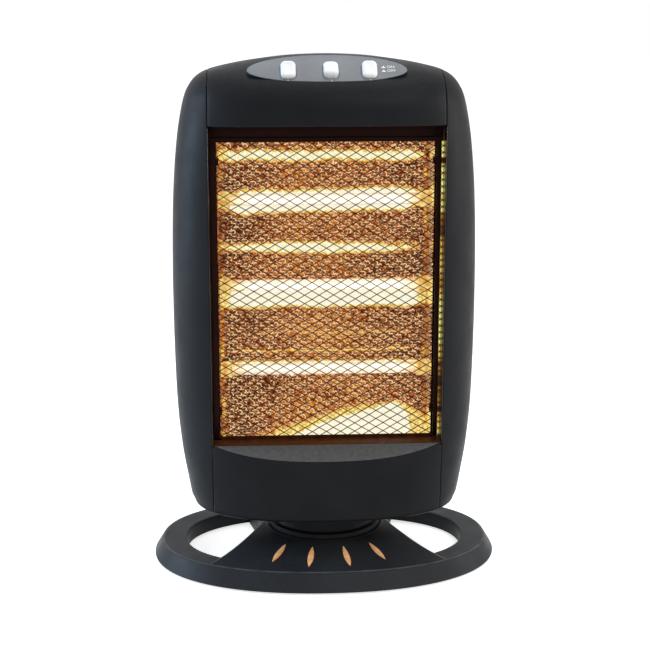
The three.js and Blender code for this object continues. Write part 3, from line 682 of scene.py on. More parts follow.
def headColumn(x, v):
    top = topHeight(x)
    column = []
    steps = 90
    for k in range(steps + 1):  # back, from the joint up to the ridge
        z = top - (top - v["headStart"]) * (1 - k / steps) ** 2
        y = surfaceY(x, z, "back")
        if y <= frontJoint:
            if not column and k:
                column.append(Vector((x, frontJoint, z)))
            column.append(Vector((x, y, z)))
    for k in range(1, 2 * steps + 1):  # front, from the ridge down to the lower edge
        z = top - (top - bodyValues["openingTop"]) * (k / (2 * steps)) ** 2
        y = surfaceY(x, z, "front")
        lowest = bodyValues["openingTop"] + (seamFrontY - y) * bodyValues["topSlope"]
        if z <= lowest:
            column.append(Vector((x, y, lowest)))
            break
        column.append(Vector((x, y, z)))
    corner = column[-1]
    inner = Vector((x, ledgeBack, bodyValues["openingTop"]))
    arc, reach = roundedCorner(column[-4], corner, inner, v["lipRadius"])
    while (column[-1] - corner).length < reach:
        column.pop()
    return evenly(column + [arc[0]], 72) + arc[1:] + evenly([arc[-1], inner], 6)[1:]


def makeHead(v):
    bm = columnsToMesh([headColumn(x, v) for x in acrossFront(v["columns"])])
    giveWall(bm, v["wall"], v["headInside"])
    roundEdges(bm, v["seamRadius"], angle=50)
    return bm


def lowerColumn(x, v):
    low = bodyValues["bottom"]
    y = seamFrontY
    edge = bodyValues["openingBottom"]
    tilt = bodyValues["sillDrop"] / (bodyValues["front"] + seamFrontY)
    for _ in range(8):  # where the face meets the sloping sill
        edge = bodyValues["openingBottom"] + (y - seamFrontY) * tilt
        y = min(surfaceY(x, edge, "front"), seamFrontY)
    corner = Vector((x, y, edge))
    column = []
    steps = 90
    for k in range(steps + 1):
        z = low + (edge - low) * (k / steps) ** 1.5
        column.append(Vector((x, surfaceY(x, z, "front"), z)))
    crease = Vector((x, seamFrontY, bodyValues["openingBottom"]))
    if (crease - corner).length < 0.2 * mm:
        crease = corner + Vector((0, 0.2 * mm, 0.1 * mm))
    inner = Vector((x, ledgeBack, bodyValues["openingBottom"]))
    arc, reach = roundedCorner(column[-4], corner, crease, v["lipRadius"])
    while (column[-1] - corner).length < reach:
        column.pop()
    face = evenly(column + [arc[0]], 36)
    return face + arc[1:] + evenly([arc[-1], crease], 6)[1:] + evenly([crease, inner], 6)[1:]


def makeLowerPanel(v):
    bm = columnsToMesh([lowerColumn(x, v) for x in acrossFront(v["columns"])])
    giveWall(bm, v["wall"], v["panelInside"])
    roundEdges(bm, v["seamRadius"] / 2, angle=60)
    return bm


def sectionArc(z, side, start, end, steps=60):
    # part of the plan section at a height, between two angles from the side of the body
    power = 2 / bodyValues[side + "Curve"]
    width, reach = halfWidth(z), depthAt(z, side)
    sign = -1 if side == "front" else 1
    arc = []
    for k in range(steps + 1):
        angle = start + (end - start) * k / steps
        c, s = math.cos(angle), max(0, math.sin(angle))
        x = math.copysign(width * abs(c) ** power, c)
        arc.append(Vector((x, sign * reach * s ** power, z)))
    return arc


def angleAt(x, z, side):
    share = min(1, x / max(halfWidth(z), 1e-6))
    return math.acos(share ** (bodyValues[side + "Curve"] / 2))


def jointAngle(y, z):
    share = min(1, y / max(depthAt(z, "back"), 1e-6))
    return math.asin(share ** (bodyValues["backCurve"] / 2))


def footLevels():
    # heights round the lower edge
    low, edge = bodyValues["bottom"], bodyValues["edge"]
    return [low + edge * (1 - math.cos(k * math.pi / 10)) for k in range(5)] + [low + edge]


def pillarLevels(v, tip):
    foot, straight, count = footLevels(), v["pillarStraight"], v["pillarLevels"]
    middle = [foot[-1] + (straight - foot[-1]) * k / count for k in range(1, count + 1)]
    roll = [tip - (tip - straight) * (1 - k / 26) ** 2 for k in range(1, 27)]
    return foot + middle + roll


def pillarLoop(z, side):
    width = halfWidth(z)
    if width <= pillarX + 0.01 * mm:
        return [Vector((side * pillarX, 0, z))] * 61
    back = min(jointAngle(frontJoint, z), angleAt(pillarX, z, "back"))
    outer = sectionArc(z, "front", angleAt(pillarX, z, "front"), 0)
    outer += sectionArc(z, "back", 0, back)[1:]
    end = outer[-1]
    corner = Vector((pillarX, end.y, z))
    loop = evenly(outer, 44) + evenly([end, corner], 4)[1:] + evenly([corner, outer[0]], 12)[1:]
    return [Vector((side * p.x, p.y, p.z)) for p in loop]


def makePillar(side, v):
    tip = topHeight(pillarX)
    columns = list(zip(*[pillarLoop(z, side) for z in pillarLevels(v, tip)]))
    bm = columnsToMesh(columns)
    bmesh.ops.remove_doubles(bm, verts=bm.verts, dist=0.005 * mm)
    bmesh.ops.holes_fill(bm, edges=[e for e in bm.edges if e.is_boundary], sides=0)
    faceOutwards(bm, 0.005 * mm)
    below = tip - 12 * mm
    roundEdges(bm, v["seamRadius"], angle=50, keep=lambda e: max(p.co.z for p in e.verts) < below)
    return bm


def makeRearSkin(v):
    rollStart, rollHeight = bodyValues["backRoll"]
    last = math.acos((rearJoint + 0.05 * mm) / bodyValues["back"])
    foot = footLevels()
    middle = [foot[-1] + (rollStart - foot[-1]) * k / 70 for k in range(1, 71)]
    roll = [rollStart + rollHeight * math.sin(last * k / 30) for k in range(1, 31)]
    rows = []
    for z in foot + middle + roll:
        start = jointAngle(rearJoint, z)
        rows.append(evenly(sectionArc(z, "back", start, math.pi - start, 160), 120))
    bm = columnsToMesh(list(zip(*rows)))
    giveWall(bm, v["wall"], v["rearInside"])
    roundEdges(bm, v["seamRadius"], angle=50)
    return bm


rearValues = {
    "gripHalf": 50 * mm,
    "gripHeights": (424 * mm, 449 * mm),
    "gripDepth": 20 * mm,
    "louvreEnds": (8 * mm, 84 * mm),
    "louvreHeight": 6 * mm,
    "louvrePitch": 14 * mm,
    "louvreCut": (30 * mm, 75 * mm),  # from here to there in depth
    "banks": [(318 * mm, 5), (88 * mm, 2)],  # lowest slot and how many
    "screws": [(x * mm, z * mm) for z in (434, 250, 76) for x in (-97, 97)],
    "screwHead": [(0, -0.4), (3.2, -0.4), (3.25, 0.45), (2.95, 0.85), (2, 1.15), (0, 1.3)],
    "screwCross": (1.9 * mm, 0.35 * mm),  # half length and half width
    "well": (4.4 * mm, 1.1 * mm),  # radius and depth of the recess round each screw
}


def slotOutline(half, height, middle, steps=8):
    # a slot with round ends, in the plane of the back
    radius = height / 2
    outline = []
    for side in (1, -1):
        for k in range(steps + 1):
            angle = side * (k / steps - 0.5) * math.pi if side > 0 else math.pi * (0.5 + k / steps)
            x = middle + side * (half - radius) + radius * math.cos(angle)
            outline.append((x, radius * math.sin(angle)))
    return outline


def layBack(bm, verts, quarters, place):
    # turns what was drawn upwards about the X axis and moves it to its place
    turn = Matrix.Rotation(quarters * math.pi / 2, 3, "X")
    bmesh.ops.rotate(bm, verts=verts, cent=(0, 0, 0), matrix=turn)
    bmesh.ops.translate(bm, verts=verts, vec=place)


def addRod(bm, radius, length, segments):
    return bmesh.ops.create_cone(
        bm, cap_ends=True, segments=segments, radius1=radius, radius2=radius, depth=length)["verts"]


def makeRearCover(v, shell):
    bm = makeRearSkin(shell)
    bottom, wall, start = bodyValues["bottom"], shell["wall"], shell["soleStart"]
    for side, _ in sides:  # soles close the bottom beside the floor pan
        outline = sectionArc(bottom, "back", jointAngle(rearJoint, start),
                             angleAt(pillarX, start, "back"), 24)
        points = [(side * (p.x - 0.3 * mm), p.y) for p in outline]
        points.append((side * pillarX, outline[0].y))
        prismMesh(points, bottom + 0.02 * mm, bottom + wall, bm)
    bmesh.ops.recalc_face_normals(bm, faces=bm.faces)
    cover = makeObject(bm, "rear_shell")
    back, half, (low, high) = bodyValues["back"], v["gripHalf"], v["gripHeights"]
    floor = back - v["gripDepth"]
    pocket = boxMesh((-half - wall, floor - wall, low - wall), (half + wall, back - 1.2 * mm, high + wall))
    combine(cover, pocket, "UNION")
    hollow = boxMesh((-half, floor, low), (half, back + 20 * mm, high))
    roundEdges(hollow, 4 * mm, angle=60, segments=4)
    combine(cover, hollow, "DIFFERENCE")
    near, away = v["louvreEnds"]
    front, behind = v["louvreCut"]
    slots = bmesh.new()
    for start, rows in v["banks"]:
        for row in range(rows):
            middle = start + row * v["louvrePitch"] + v["louvreHeight"] / 2
            for side, _ in sides:
                outline = slotOutline((away - near) / 2, v["louvreHeight"], side * (away + near) / 2)
                slot = prismMesh(outline, 0, behind - front)
                layBack(slot, slot.verts, 1, (0, behind, middle))
                addMesh(slots, slot)
    combine(cover, slots, "DIFFERENCE")
    wells, (radius, deep) = bmesh.new(), v["well"]
    for x, z in v["screws"]:
        rod = addRod(wells, radius, 20 * mm, 40)
        layBack(wells, rod, -1, (x, surfaceY(x, z, "back") - deep + 10 * mm, z))
    combine(cover, wells, "DIFFERENCE")
    return cover


def makeScrews(v):
    head = makeObject(turnedMesh([(r * mm, z * mm) for r, z in v["screwHead"]], 40, closed=False), "screw")
    long, short = v["screwCross"]
    for x, y in ((long, short), (short, long)):
        combine(head, boxMesh((-x, -y, 0.4 * mm), (x, y, 2 * mm)), "DIFFERENCE")
    screws = bmesh.new()
    for i, (x, z) in enumerate(v["screws"]):
        one = bmesh.new()
        one.from_mesh(head.data)
        place = Vector((x, surfaceY(x, z, "back") - v["well"][1], z))
        one.transform(Matrix.Translation(place) @ Matrix.Rotation(-math.pi / 2, 4, "X")
                      @ Matrix.Rotation(0.5 + i * 1.1, 4, "Z"))
        addMesh(screws, one)
    bpy.data.objects.remove(head)
    return screws


# ---- the oval base
baseValues = {
    "curve": 2.2,  # superellipse exponent in plan
    "foot": (170 * mm, 120 * mm),
    "rim": (162 * mm, 106 * mm),
    "inner": (138 * mm, 85 * mm),
    "rimHeight": 17 * mm,
    "footHeight": 2 * mm,
    "rimRadius": 2 * mm,
    "innerRadius": 1.5 * mm,
    "wall": 2.5 * mm,
    "around": 220,
    # radius and centre of the curves that draw in the apron
    "frontWaist": (230 * mm, 275.7 * mm, 85.8 * mm),
    "rearWaist": (600 * mm, 658.5 * mm, -67.8 * mm),
    "apronStart": 58 * mm,
    "slopeStart": 60 * mm,
    "apronRise": 13.3 * mm,
    "apronCurve": 1.25,
    "apronProud": 0.35 * mm,
    "apronEdge": 1.1 * mm,
    "hub": [  # (radius, z) of the collar that the neck turns in
        (8.5, 24.5), (56.5, 24.5), (58, 17), (60.5, 17), (60.5, 29.6), (60.1, 30.3), (59.2, 31.2),
        (58.6, 31.5), (57.3, 31.5), (56.9, 31.4), (56.6, 31), (56.5, 27.6), (56.1, 27.1),
        (55.4, 27), (8.5, 27),
    ],
    "gland": (9.6 * mm, 3.5 * mm),  # height and radius of the lead's outlet
    # a lighter, bluer copy of the body's charcoal: painted sheen of the light on the base
    "look": {"colour": (0.0115, 0.0135, 0.016), "second": (0.016, 0.018, 0.0205),
             "rough": (0.42, 0.54), "ior": 1.24, "dust": 0.05},
    # colour of the painted highlight lines along the edges
    "edgeHighlight": (0.16, 0.17, 0.18),
}


def ovalPoint(half, angle, z):
    power = 2 / baseValues["curve"]
    c, s = math.cos(angle), math.sin(angle)
    return Vector((
        math.copysign(half[0] * abs(c) ** power, c), math.copysign(half[1] * abs(s) ** power, s), z,
    ))


def ovalReach(half, angle):
    # distance to the oval in a direction
    curve = baseValues["curve"]
    share = (abs(math.cos(angle)) / half[0]) ** curve + (abs(math.sin(angle)) / half[1]) ** curve
    return share ** (-1 / curve)


def waistReach(angle):
    # distance to the long curve that draws in the apron, or None where the ray misses it
    radius, x, y = baseValues["rearWaist" if math.sin(angle) > 0 else "frontWaist"]
    along = x * abs(math.cos(angle)) + y * math.sin(angle)
    rest = along ** 2 - (x * x + y * y - radius ** 2)
    return along - math.sqrt(rest) if along > 0 and rest > 0 else None


def apronHeight(radius, angle, v):
    start = v["slopeStart"]
    share = min(1, max(0, (radius - start) / (ovalReach(v["rim"], angle) - start)))
    return v["rimHeight"] + v["apronProud"] + v["apronRise"] * (1 - share) ** v["apronCurve"]


def ringColumn(angle, v):
    keys = [
        ovalPoint([a - 0.5 * mm for a in v["foot"]], angle, v["footHeight"]),
        ovalPoint(v["foot"], angle, v["footHeight"] + 1.5 * mm),
        ovalPoint(v["rim"], angle, v["rimHeight"]),
        ovalPoint(v["inner"], angle, v["rimHeight"]),
        ovalPoint(v["inner"], angle, v["footHeight"]),
    ]
    outer, _ = roundedCorner(keys[1], keys[2], keys[3], v["rimRadius"])
    inner, _ = roundedCorner(keys[2], keys[3], keys[4], v["innerRadius"])
    column = [keys[0]] + evenly([keys[1], outer[0]], 6) + outer[1:]
    return column + evenly([outer[-1], inner[0]], 5)[1:] + inner[1:] + evenly([inner[-1], keys[4]], 3)[1:]


def wallBelow(bm, v):
    # closes a sheet's seam, turns it upwards and gives it its wall
    bmesh.ops.remove_doubles(bm, verts=bm.verts, dist=0.01 * mm)
    face = max(bm.faces, key=lambda f: f.calc_center_median().z)
    if face.normal.z < 0:
        bmesh.ops.reverse_faces(bm, faces=bm.faces)
    giveWall(bm, v["wall"])
    return bm


def makeRing(v):
    # spaced by length rather than by angle, so that the long sides are smooth
    line = evenly([ovalPoint(v["rim"], i * math.pi / 720, 0) for i in range(1441)], v["around"])
    power = v["curve"] / 2
    columns = []
    for p in line:
        c = math.copysign((abs(p.x) / v["rim"][0]) ** power, p.x)
        s = math.copysign((abs(p.y) / v["rim"][1]) ** power, p.y)
        columns.append(ringColumn(math.atan2(s, c), v))
    return wallBelow(columnsToMesh(columns), v)


def apronColumn(angle, v):
    rim = ovalReach([a - 0.6 * mm for a in v["rim"]], angle)
    waist = waistReach(angle)
    reach = min(rim, waist) if waist else rim

    def point(radius, z):
        return Vector((radius * math.cos(angle), radius * math.sin(angle), z))

    top = [point(r, apronHeight(r, angle, v)) for r in (
        v["apronStart"] + (reach - v["apronStart"]) * k / 40 for k in range(41))]
    foot = point(reach, v["footHeight"])
    arc, length = roundedCorner(top[-2], top[-1], foot, v["apronEdge"])
    while len(top) > 2 and (top[-1] - point(reach, top[-1].z)).length < length:
        top.pop()
    return evenly(top + [arc[0]], 20) + arc[1:] + evenly([arc[-1], foot], 3)[1:]


def waistEnd(v, side):
    # the angle at which a waist curve runs out over the rim
    low, high = 0.2, 1.4
    for _ in range(40):
        middle = (low + high) / 2
        rim, waist = ovalReach([a - 0.6 * mm for a in v["rim"]], middle), waistReach(side * middle)
        if waist and waist < rim:
            low = middle
        else:
            high = middle
    return low


def makeApron(v):
    front, rear, angles = waistEnd(v, -1), waistEnd(v, 1), []
    for start, end, steps in (
            (-front, 0, 30), (0, rear, 36), (rear, math.pi - rear, 60), (math.pi - rear, math.pi, 36),
            (math.pi, math.pi + front, 30), (math.pi + front, 2 * math.pi - front, 84)):
        angles += [start + (end - start) * k / steps for k in range(steps)]
    columns = [apronColumn(angle, v) for angle in angles]
    return wallBelow(columnsToMesh(columns + columns[:1]), v)


def makeBase(v):
    base = makeObject(makeRing(v), "base_body")
    combine(base, makeApron(v), "UNION")
    combine(base, turnedMesh([(r * mm, z * mm) for r, z in v["hub"]], 160), "UNION")
    height, radius = v["gland"]
    hole = bmesh.new()
    layBack(hole, addRod(hole, radius, 30 * mm, 32), 1, (0, 112 * mm, height))
    combine(base, hole, "DIFFERENCE")
    return base


def makeBaseFinish(v):
    # the satin of the body, with painted highlights as light lines along the edges
    material, tree, place, shader = startFinish("baseSatinLit")
    look = v["look"]

    def do(*parts, **more):
        return maths(tree, *parts, **more)

    x, y, z = placeInMm(tree, place)
    side = do("ABSOLUTE", x)

    def ovalLine(half, spread):
        share = do("ADD", do("POWER", do("DIVIDE", side, half[0] * 1000), v["curve"]),
                   do("POWER", do("DIVIDE", do("ABSOLUTE", y), half[1] * 1000), v["curve"]))
        return fit(tree, do("ABSOLUTE", do("SUBTRACT", share, 1)), spread * 0.4, spread, 1, 0)

    def waistLine(arc):
        radius, cx, cy = [number * 1000 for number in arc]
        dx, dy = do("SUBTRACT", side, cx), do("SUBTRACT", y, cy)
        reach = do("SQRT", do("ADD", do("MULTIPLY", dx, dx), do("MULTIPLY", dy, dy)))
        return fit(tree, do("ABSOLUTE", do("SUBTRACT", reach, radius + 0.7)), 0.35, 0.9, 1, 0)

    behind = do("GREATER_THAN", y, 0)
    front, rear = waistLine(v["frontWaist"]), waistLine(v["rearWaist"])
    waist = do("ADD", do("MULTIPLY", front, do("SUBTRACT", 1, behind)), do("MULTIPLY", rear, behind))
    waist = do("MULTIPLY", waist, fit(tree, z, 17.1, 17.6))
    rim = ovalLine([a - 0.9 * mm for a in v["rim"]], 0.022)
    rim = do("MULTIPLY", rim, fit(tree, z, 15.8, 16.6))
    # painted highlight: light lines on the waist edges and on the rim's top edge, broken up by noise
    mask = do("MAXIMUM", waist, do("MULTIPLY", rim, 0.35))
    highlightBreaks = fit(tree, noise(tree, place, 70, 3), 0.3, 0.6, 0.35, 1)
    mask = do("MULTIPLY", mask, highlightBreaks)
    tone = addTone(tree, place, look)
    colour = mixColours(tree, mask, tone["Color"], (*v["edgeHighlight"], 1))
    colour = placeGroup(tree, dust, Place=place, Color=colour, Amount=look["dust"])["Color"]
    tree.links.new(colour, shader.inputs["Base Color"])
    tree.links.new(do("MULTIPLY_ADD", mask, -0.1, tone["Roughness"]), shader.inputs["Roughness"])
    shader.inputs["IOR"].default_value = look["ior"]
    addGrain(tree, place, shader, 2200.0, 0.3)
    return material


satin = finish["charcoalSatin"]
head = makePiece(makeHead(shellValues), "head_shell", "heater", satin, ["head"])
panel = makePiece(makeLowerPanel(shellValues), "front_panel", "heater", satin,
                  ["lower_panel"])
for side, word in sides:
    makePiece(makePillar(side, shellValues), word + "_pillar_shell", "heater", satin,
              [word + "_pillar"])
# painted light: the sill's upward faces get a lighter grey
paintFaces(panel, finish["sillLitGrey"],
           lambda face: face.normal.z > 0.6 and face.center.y < seamFrontY + 0.3 * mm)
# painted reflection: the ledge behind the sill gets the brown of the lamps' glow
paintFaces(panel, finish["ledgeGlowReflection"],
           lambda face: face.normal.z > 0.6 and seamFrontY + 0.3 * mm < face.center.y < ledgeBack + 1 * mm)
dress(makeRearCover(rearValues, shellValues), "heater", satin, "body_plastic", "rear_cover")
makePiece(makeScrews(rearValues), "rear_screws", "heater", finish["screwSteel"])
dress(makeBase(baseValues), "base", makeBaseFinish(baseValues), "body_plastic", "base_shell")
print("shells made")


# ---- amber inserts in the apron
slotValues = {
    "angles": (-27.5, -9.7, 9.7, 27.5),
    "fanY": 20 * mm,  # the slots point at this place behind the hub's centre
    "fanRadius": 102.7 * mm,
    "length": 30.5 * mm,
    "width": 5.8 * mm,
    "border": 1.1 * mm,
    "proud": 0.55 * mm,
    "crown": 0.7 * mm,
    "sheet": 1.4 * mm,
    "borderProud": 0.25 * mm,
    "borderSheet": 0.9 * mm,
}


def makeAlmond(turn, grow, proud, crown, depth, v):
    half, bulge = v["length"] / 2 + grow, v["width"] / 2 + grow
    radius = (half * half + bulge * bulge) / (2 * bulge)

    def place(s, t):
        along = (s * 2 - 1) * half
        across = (t * 2 - 1) * (math.sqrt(max(0, radius ** 2 - along ** 2)) - radius + bulge)
        local = Vector((across, along - v["fanRadius"], 0))
        local.rotate(Matrix.Rotation(math.radians(turn), 3, "Z"))
        x, y = local.x, local.y + v["fanY"]
        height = apronHeight(math.hypot(x, y), math.atan2(y, x), baseValues)
        round_ = (1 - (t * 2 - 1) ** 2) * (1 - (s * 2 - 1) ** 4)
        return Vector((x, y, height + proud + crown * round_))

    bm = mappedGrid(28, 10, place)
    bmesh.ops.remove_doubles(bm, verts=bm.verts, dist=0.02 * mm)
    giveWall(bm, depth, (0, -0.08, 0))
    roundEdges(bm, 0.25 * mm, angle=50, segments=2)
    return bm


def makeInserts(v):
    for i, turn in enumerate(v["angles"]):
        amber = makeAlmond(turn, 0, v["proud"], v["crown"], v["sheet"], v)
        makePiece(amber, "amber_insert_%d" % (i + 1), "base", finish["amberPlastic"],
                  ["slot_insert_%d" % (i + 1)])
        # painted shade: a dark red sheet a little larger than the insert stands in for the shade at its
        # edge
        border = makeAlmond(turn, v["border"], v["borderProud"], 0, v["borderSheet"], v)
        makePiece(border, "insert_rim_shade_%d" % (i + 1), "base", finish["slotRimShade"])


makeInserts(slotValues)


# ---- neck of the turntable
neckValues = {
    "profile": [  # (radius, z)
        (13.3, 29.1), (55.4, 29.1), (55.8, 29.5), (55.8, 34.9), (55.5, 35.7), (54.8, 36.1),
        (51.6, 36.1), (50.6, 36.5), (50, 37.5), (50, 58), (46, 58), (46, 33.1), (19, 33.1),
        (19, 58), (13.3, 58),
    ],
}
neck = turnedMesh([(r * mm, z * mm) for r, z in neckValues["profile"]], 144)
makePiece(neck, "turntable_neck", "heater", finish["blackPlastic"], ["turntable"])


# ---- control console
consoleValues = {
    "slope": 35.6,  # degrees
    "originY": -66 * mm,
    "originDrop": 22.1 * mm,  # below the top of the body
    "half": 73.5 * mm,
    "frontSag": 17.2 * mm,
    "backSag": 22.2 * mm,
    "thickness": 7 * mm,
    "edge": 0.9 * mm,
    "rockerX": (-35.6 * mm, 3.3 * mm, 38.6 * mm),
    "rockerAlong": 16 * mm,
    "rocker": (7 * mm, 10 * mm),  # half width and half length
    "rockerRoom": (0.5 * mm, 1 * mm, 0.4 * mm),  # round it: across, along and at the corners
    "rockerCorner": 5 * mm,
    "rockerTop": 8 * mm,  # above its pivot
    "rockerLow": -2 * mm,
    "rockerEdge": 3 * mm,
    "dish": 0.6 * mm,
    "pivot": 3 * mm,  # below the face
    "tilt": 8,  # degrees
}


def onPanel(bm):
    v = consoleValues
    turn = Matrix.Rotation(math.radians(v["slope"]), 4, "X")
    bm.transform(Matrix.Translation((0, v["originY"], bodyTop - v["originDrop"])) @ turn)
    return bm


def lensOutline(grow, v, count=120):
    outline = []
    for i in range(count):
        angle = i / count * 2 * math.pi
        sag = v["frontSag"] if math.sin(angle) < 0 else v["backSag"]
        outline.append(((v["half"] + grow) * math.cos(angle),
                        v["frontSag"] + (sag + grow) * math.sin(angle)))
    return outline


def roundedRectangle(halfX, halfY, radius, count=10):
    outline = []
    for sx, sy, start in ((1, 1, 0), (-1, 1, 90), (-1, -1, 180), (1, -1, 270)):
        for k in range(count + 1):
            angle = math.radians(start + 90 * k / count)
            outline.append((sx * (halfX - radius) + radius * math.cos(angle),
                            sy * (halfY - radius) + radius * math.sin(angle)))
    return outline


def makeConsole(v):
    plate = prismMesh(lensOutline(0, v), -v["thickness"], 0)
    roundEdges(plate, v["edge"], angle=60, segments=4)
    console = makeObject(onPanel(plate), "console_plate")
    holes = bmesh.new()
    (halfX, halfY), (roomX, roomY, roomCorner) = v["rocker"], v["rockerRoom"]
    outline = roundedRectangle(halfX + roomX, halfY + roomY, v["rockerCorner"] + roomCorner)
    for x in v["rockerX"]:
        prismMesh([(x + a, v["rockerAlong"] + b) for a, b in outline], -3 * v["thickness"], 0.02, holes)
    combine(console, onPanel(holes), "DIFFERENCE")
    return console


def rockerColumns(v):
    # from the foot up the side, over the rounded edge and in to the middle
    halfX, halfY = v["rocker"]
    low, top, edge = v["rockerLow"], v["rockerTop"], v["rockerEdge"]
    steps = [(0, low + (top - edge - low) * k / 4) for k in range(5)]
    for k in range(1, 7):
        angle = math.pi / 2 * k / 6
        steps.append((edge * (1 - math.cos(angle)), top - edge * (1 - math.sin(angle))))
    steps += [(edge + (halfX - edge) * k / 5, top) for k in range(1, 6)]
    rows = []
    for inset, z in steps:
        radius = max(v["rockerCorner"] - inset, 0.001 * mm)
        loop = roundedRectangle(max(halfX - inset, radius), halfY - inset, radius)
        deep = min(1, max(0, (inset - edge * 0.4) / (edge * 1.2)))
        rows.append([Vector((x, y, z - v["dish"] * deep * (1 - (y / halfY) ** 2))) for x, y in loop])
    columns = [list(column) for column in zip(*rows)]
    return columns + columns[:1]


def makeRocker(index, v):
    bm = columnsToMesh(rockerColumns(v))
    bmesh.ops.remove_doubles(bm, verts=bm.verts, dist=0.01 * mm)
    bmesh.ops.holes_fill(bm, edges=[e for e in bm.edges if e.is_boundary], sides=0)
    faceOutwards(bm, 0.01 * mm)
    tilt = -v["tilt"] if index == 1 else v["tilt"]
    bm.transform(Matrix.Translation((v["rockerX"][index], v["rockerAlong"], -v["pivot"]))
                 @ Matrix.Rotation(math.radians(tilt), 4, "X"))
    return onPanel(bm)


opening = prismMesh(lensOutline(0.3 * mm, consoleValues), -consoleValues["thickness"] - 0.3 * mm, 0.1)
combine(head, onPanel(opening), "DIFFERENCE")
creaseAgain(head)
head.data.materials.append(satin)
console = dress(makeConsole(consoleValues), "heater", finish["slatePlastic"], "panel_plastic",
                "control_panel")
slope = math.radians(consoleValues["slope"])
faceNormal = Vector((0, -math.sin(slope), math.cos(slope)))
paintFaces(console, finish["blackPlastic"], lambda face: face.normal.dot(faceNormal) < 0.75)
for i, word in enumerate(("left", "middle", "right")):
    makePiece(makeRocker(i, consoleValues), "rocker_cap_" + word, "rocker_" + word, finish["whitePlastic"],
              ["rocker_%d" % (i + 1)])


# ---- white marks on the console
markValues = {
    "digits": [("1", -36, 3), ("2", 3.6, 2.2), ("3", 38.8, 3)],  # text, x and y on the panel in mm
    "words": [("ON", 54.6, 21.2), ("OFF", 54.6, 15.9)],
    "triangles": [(51.6, 21.2), (51.6, 15.9)],
    "corners": [(-2.1, -1.4), (2.1, -1.4), (0, 1.6)],
    "digitSize": 4 * mm,
    "wordSize": 4.6 * mm,
    "height": 0.12 * mm,
}


def curveMesh(curve, mergeDistance):
    # turns a curve or a text into a mesh and deletes it
    holder = bpy.data.objects.new(curve.name, curve)
    bpy.context.scene.collection.objects.link(holder)
    graph = bpy.context.evaluated_depsgraph_get()
    mesh = bpy.data.meshes.new_from_object(holder.evaluated_get(graph))
    bm = bmesh.new()
    bm.from_mesh(mesh)
    bpy.data.objects.remove(holder)
    bpy.data.curves.remove(curve)
    bpy.data.meshes.remove(mesh)
    bmesh.ops.remove_doubles(bm, verts=bm.verts, dist=mergeDistance)
    return bm


def textMesh(text, size, x, y, align, height):
    curve = bpy.data.curves.new("mark", "FONT")
    curve.body = text
    curve.size = size
    curve.align_x = align
    curve.align_y = "CENTER"
    curve.extrude = height / 2
    curve.resolution_u = 4
    bm = curveMesh(curve, 0.001 * mm)
    bmesh.ops.translate(bm, verts=bm.verts, vec=(x * mm, y * mm, height / 2))
    return bm


def makeMarks(v):
    marks = bmesh.new()
    for text, x, y in v["digits"]:
        addMesh(marks, textMesh(text, v["digitSize"], x, y, "CENTER", v["height"]))
    for text, x, y in v["words"]:
        addMesh(marks, textMesh(text, v["wordSize"], x, y, "LEFT", v["height"]))
    for x, y in v["triangles"]:
        prismMesh([((x + a) * mm, (y + b) * mm) for a, b in v["corners"]], 0, v["height"], marks)
    return onPanel(marks)


makePiece(makeMarks(markValues), "console_marks", "heater", finish["whitePrint"])
print("console made")


# ---- guard in front of the lamps
guardValues = {
    "edge": 0.5 * mm,
    "cell": (13.75 * mm, 8.2 * mm),
    "wire": 0.42 * mm,
    "weave": 0.22 * mm,
    "barRight": 107.9 * mm,  # a lit gap shows beside it
    "hem": (417.4 * mm, 421.4 * mm),
    "hemInset": 0.4 * mm,
    "hemSheet": (0.22 * mm, 0.02 * mm),  # in front of the net
}


def tubesMesh(paths, radius):
    # round wires along lines of points, with closed ends
    curve = bpy.data.curves.new("wires", "CURVE")
    curve.dimensions = "3D"
    curve.bevel_depth = radius
    curve.bevel_resolution = 1
    curve.use_fill_caps = True
    for path in paths:
        spline = curve.splines.new("POLY")
        spline.points.add(len(path) - 1)
        for point, place in zip(spline.points, path):
            point.co = (*place, 1)
    bm = curveMesh(curve, 0.002 * mm)
    bmesh.ops.recalc_face_normals(bm, faces=bm.faces)
    return bm


def wirePaths(v):
    # two families of straight wires that pass over and under each other
    low, high = [Vector(corner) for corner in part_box("guard_mesh")]
    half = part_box("guard_bar_right")[0][0] + v["wire"]
    low.x, high.x, high.z = -half, half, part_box("guard_rail_top")[0][2] + 2 * v["wire"]
    width, height = v["cell"]
    middle, centre = (low.y + high.y) / 2, (low + high) / 2
    paths = []
    for slant in (1, -1):
        reach = int((high.x - low.x) / width + (high.z - low.z) / height) // 2 + 2
        for k in range(-reach, reach + 1):
            path = []
            for j in range(-2 * reach, 2 * reach + 1):
                x = centre.x + (k + j) * width / 2
                z = centre.z + slant * (j - k) * height / 2
                path.append(Vector((x, middle + slant * v["weave"] * (1 if (j + k) % 2 else -1), z)))
            inside = clipPath(path, low, high, v["wire"])
            if len(inside) > 1 and (inside[-1] - inside[0]).length > 2 * mm:
                paths.append(inside)
    return paths


def clipPath(path, low, high, margin):
    # the part of a straight run of points that lies inside the frame
    start, end = path[0], path[-1]
    first, last = 0.0, 1.0
    for axis in (0, 2):
        span = end[axis] - start[axis]
        a = (low[axis] + margin - start[axis]) / span
        b = (high[axis] - margin - start[axis]) / span
        first, last = max(first, min(a, b)), min(last, max(a, b))
    if first >= last:
        return []
    count = len(path) - 1
    cut = [pointAlong(path, first * count)]
    cut += [path[i] for i in range(math.ceil(first * count + 0.02), math.floor(last * count - 0.02) + 1)]
    return cut + [pointAlong(path, last * count)]


def pointAlong(path, place):
    i = min(int(place), len(path) - 2)
    return path[i].lerp(path[i + 1], place - i)


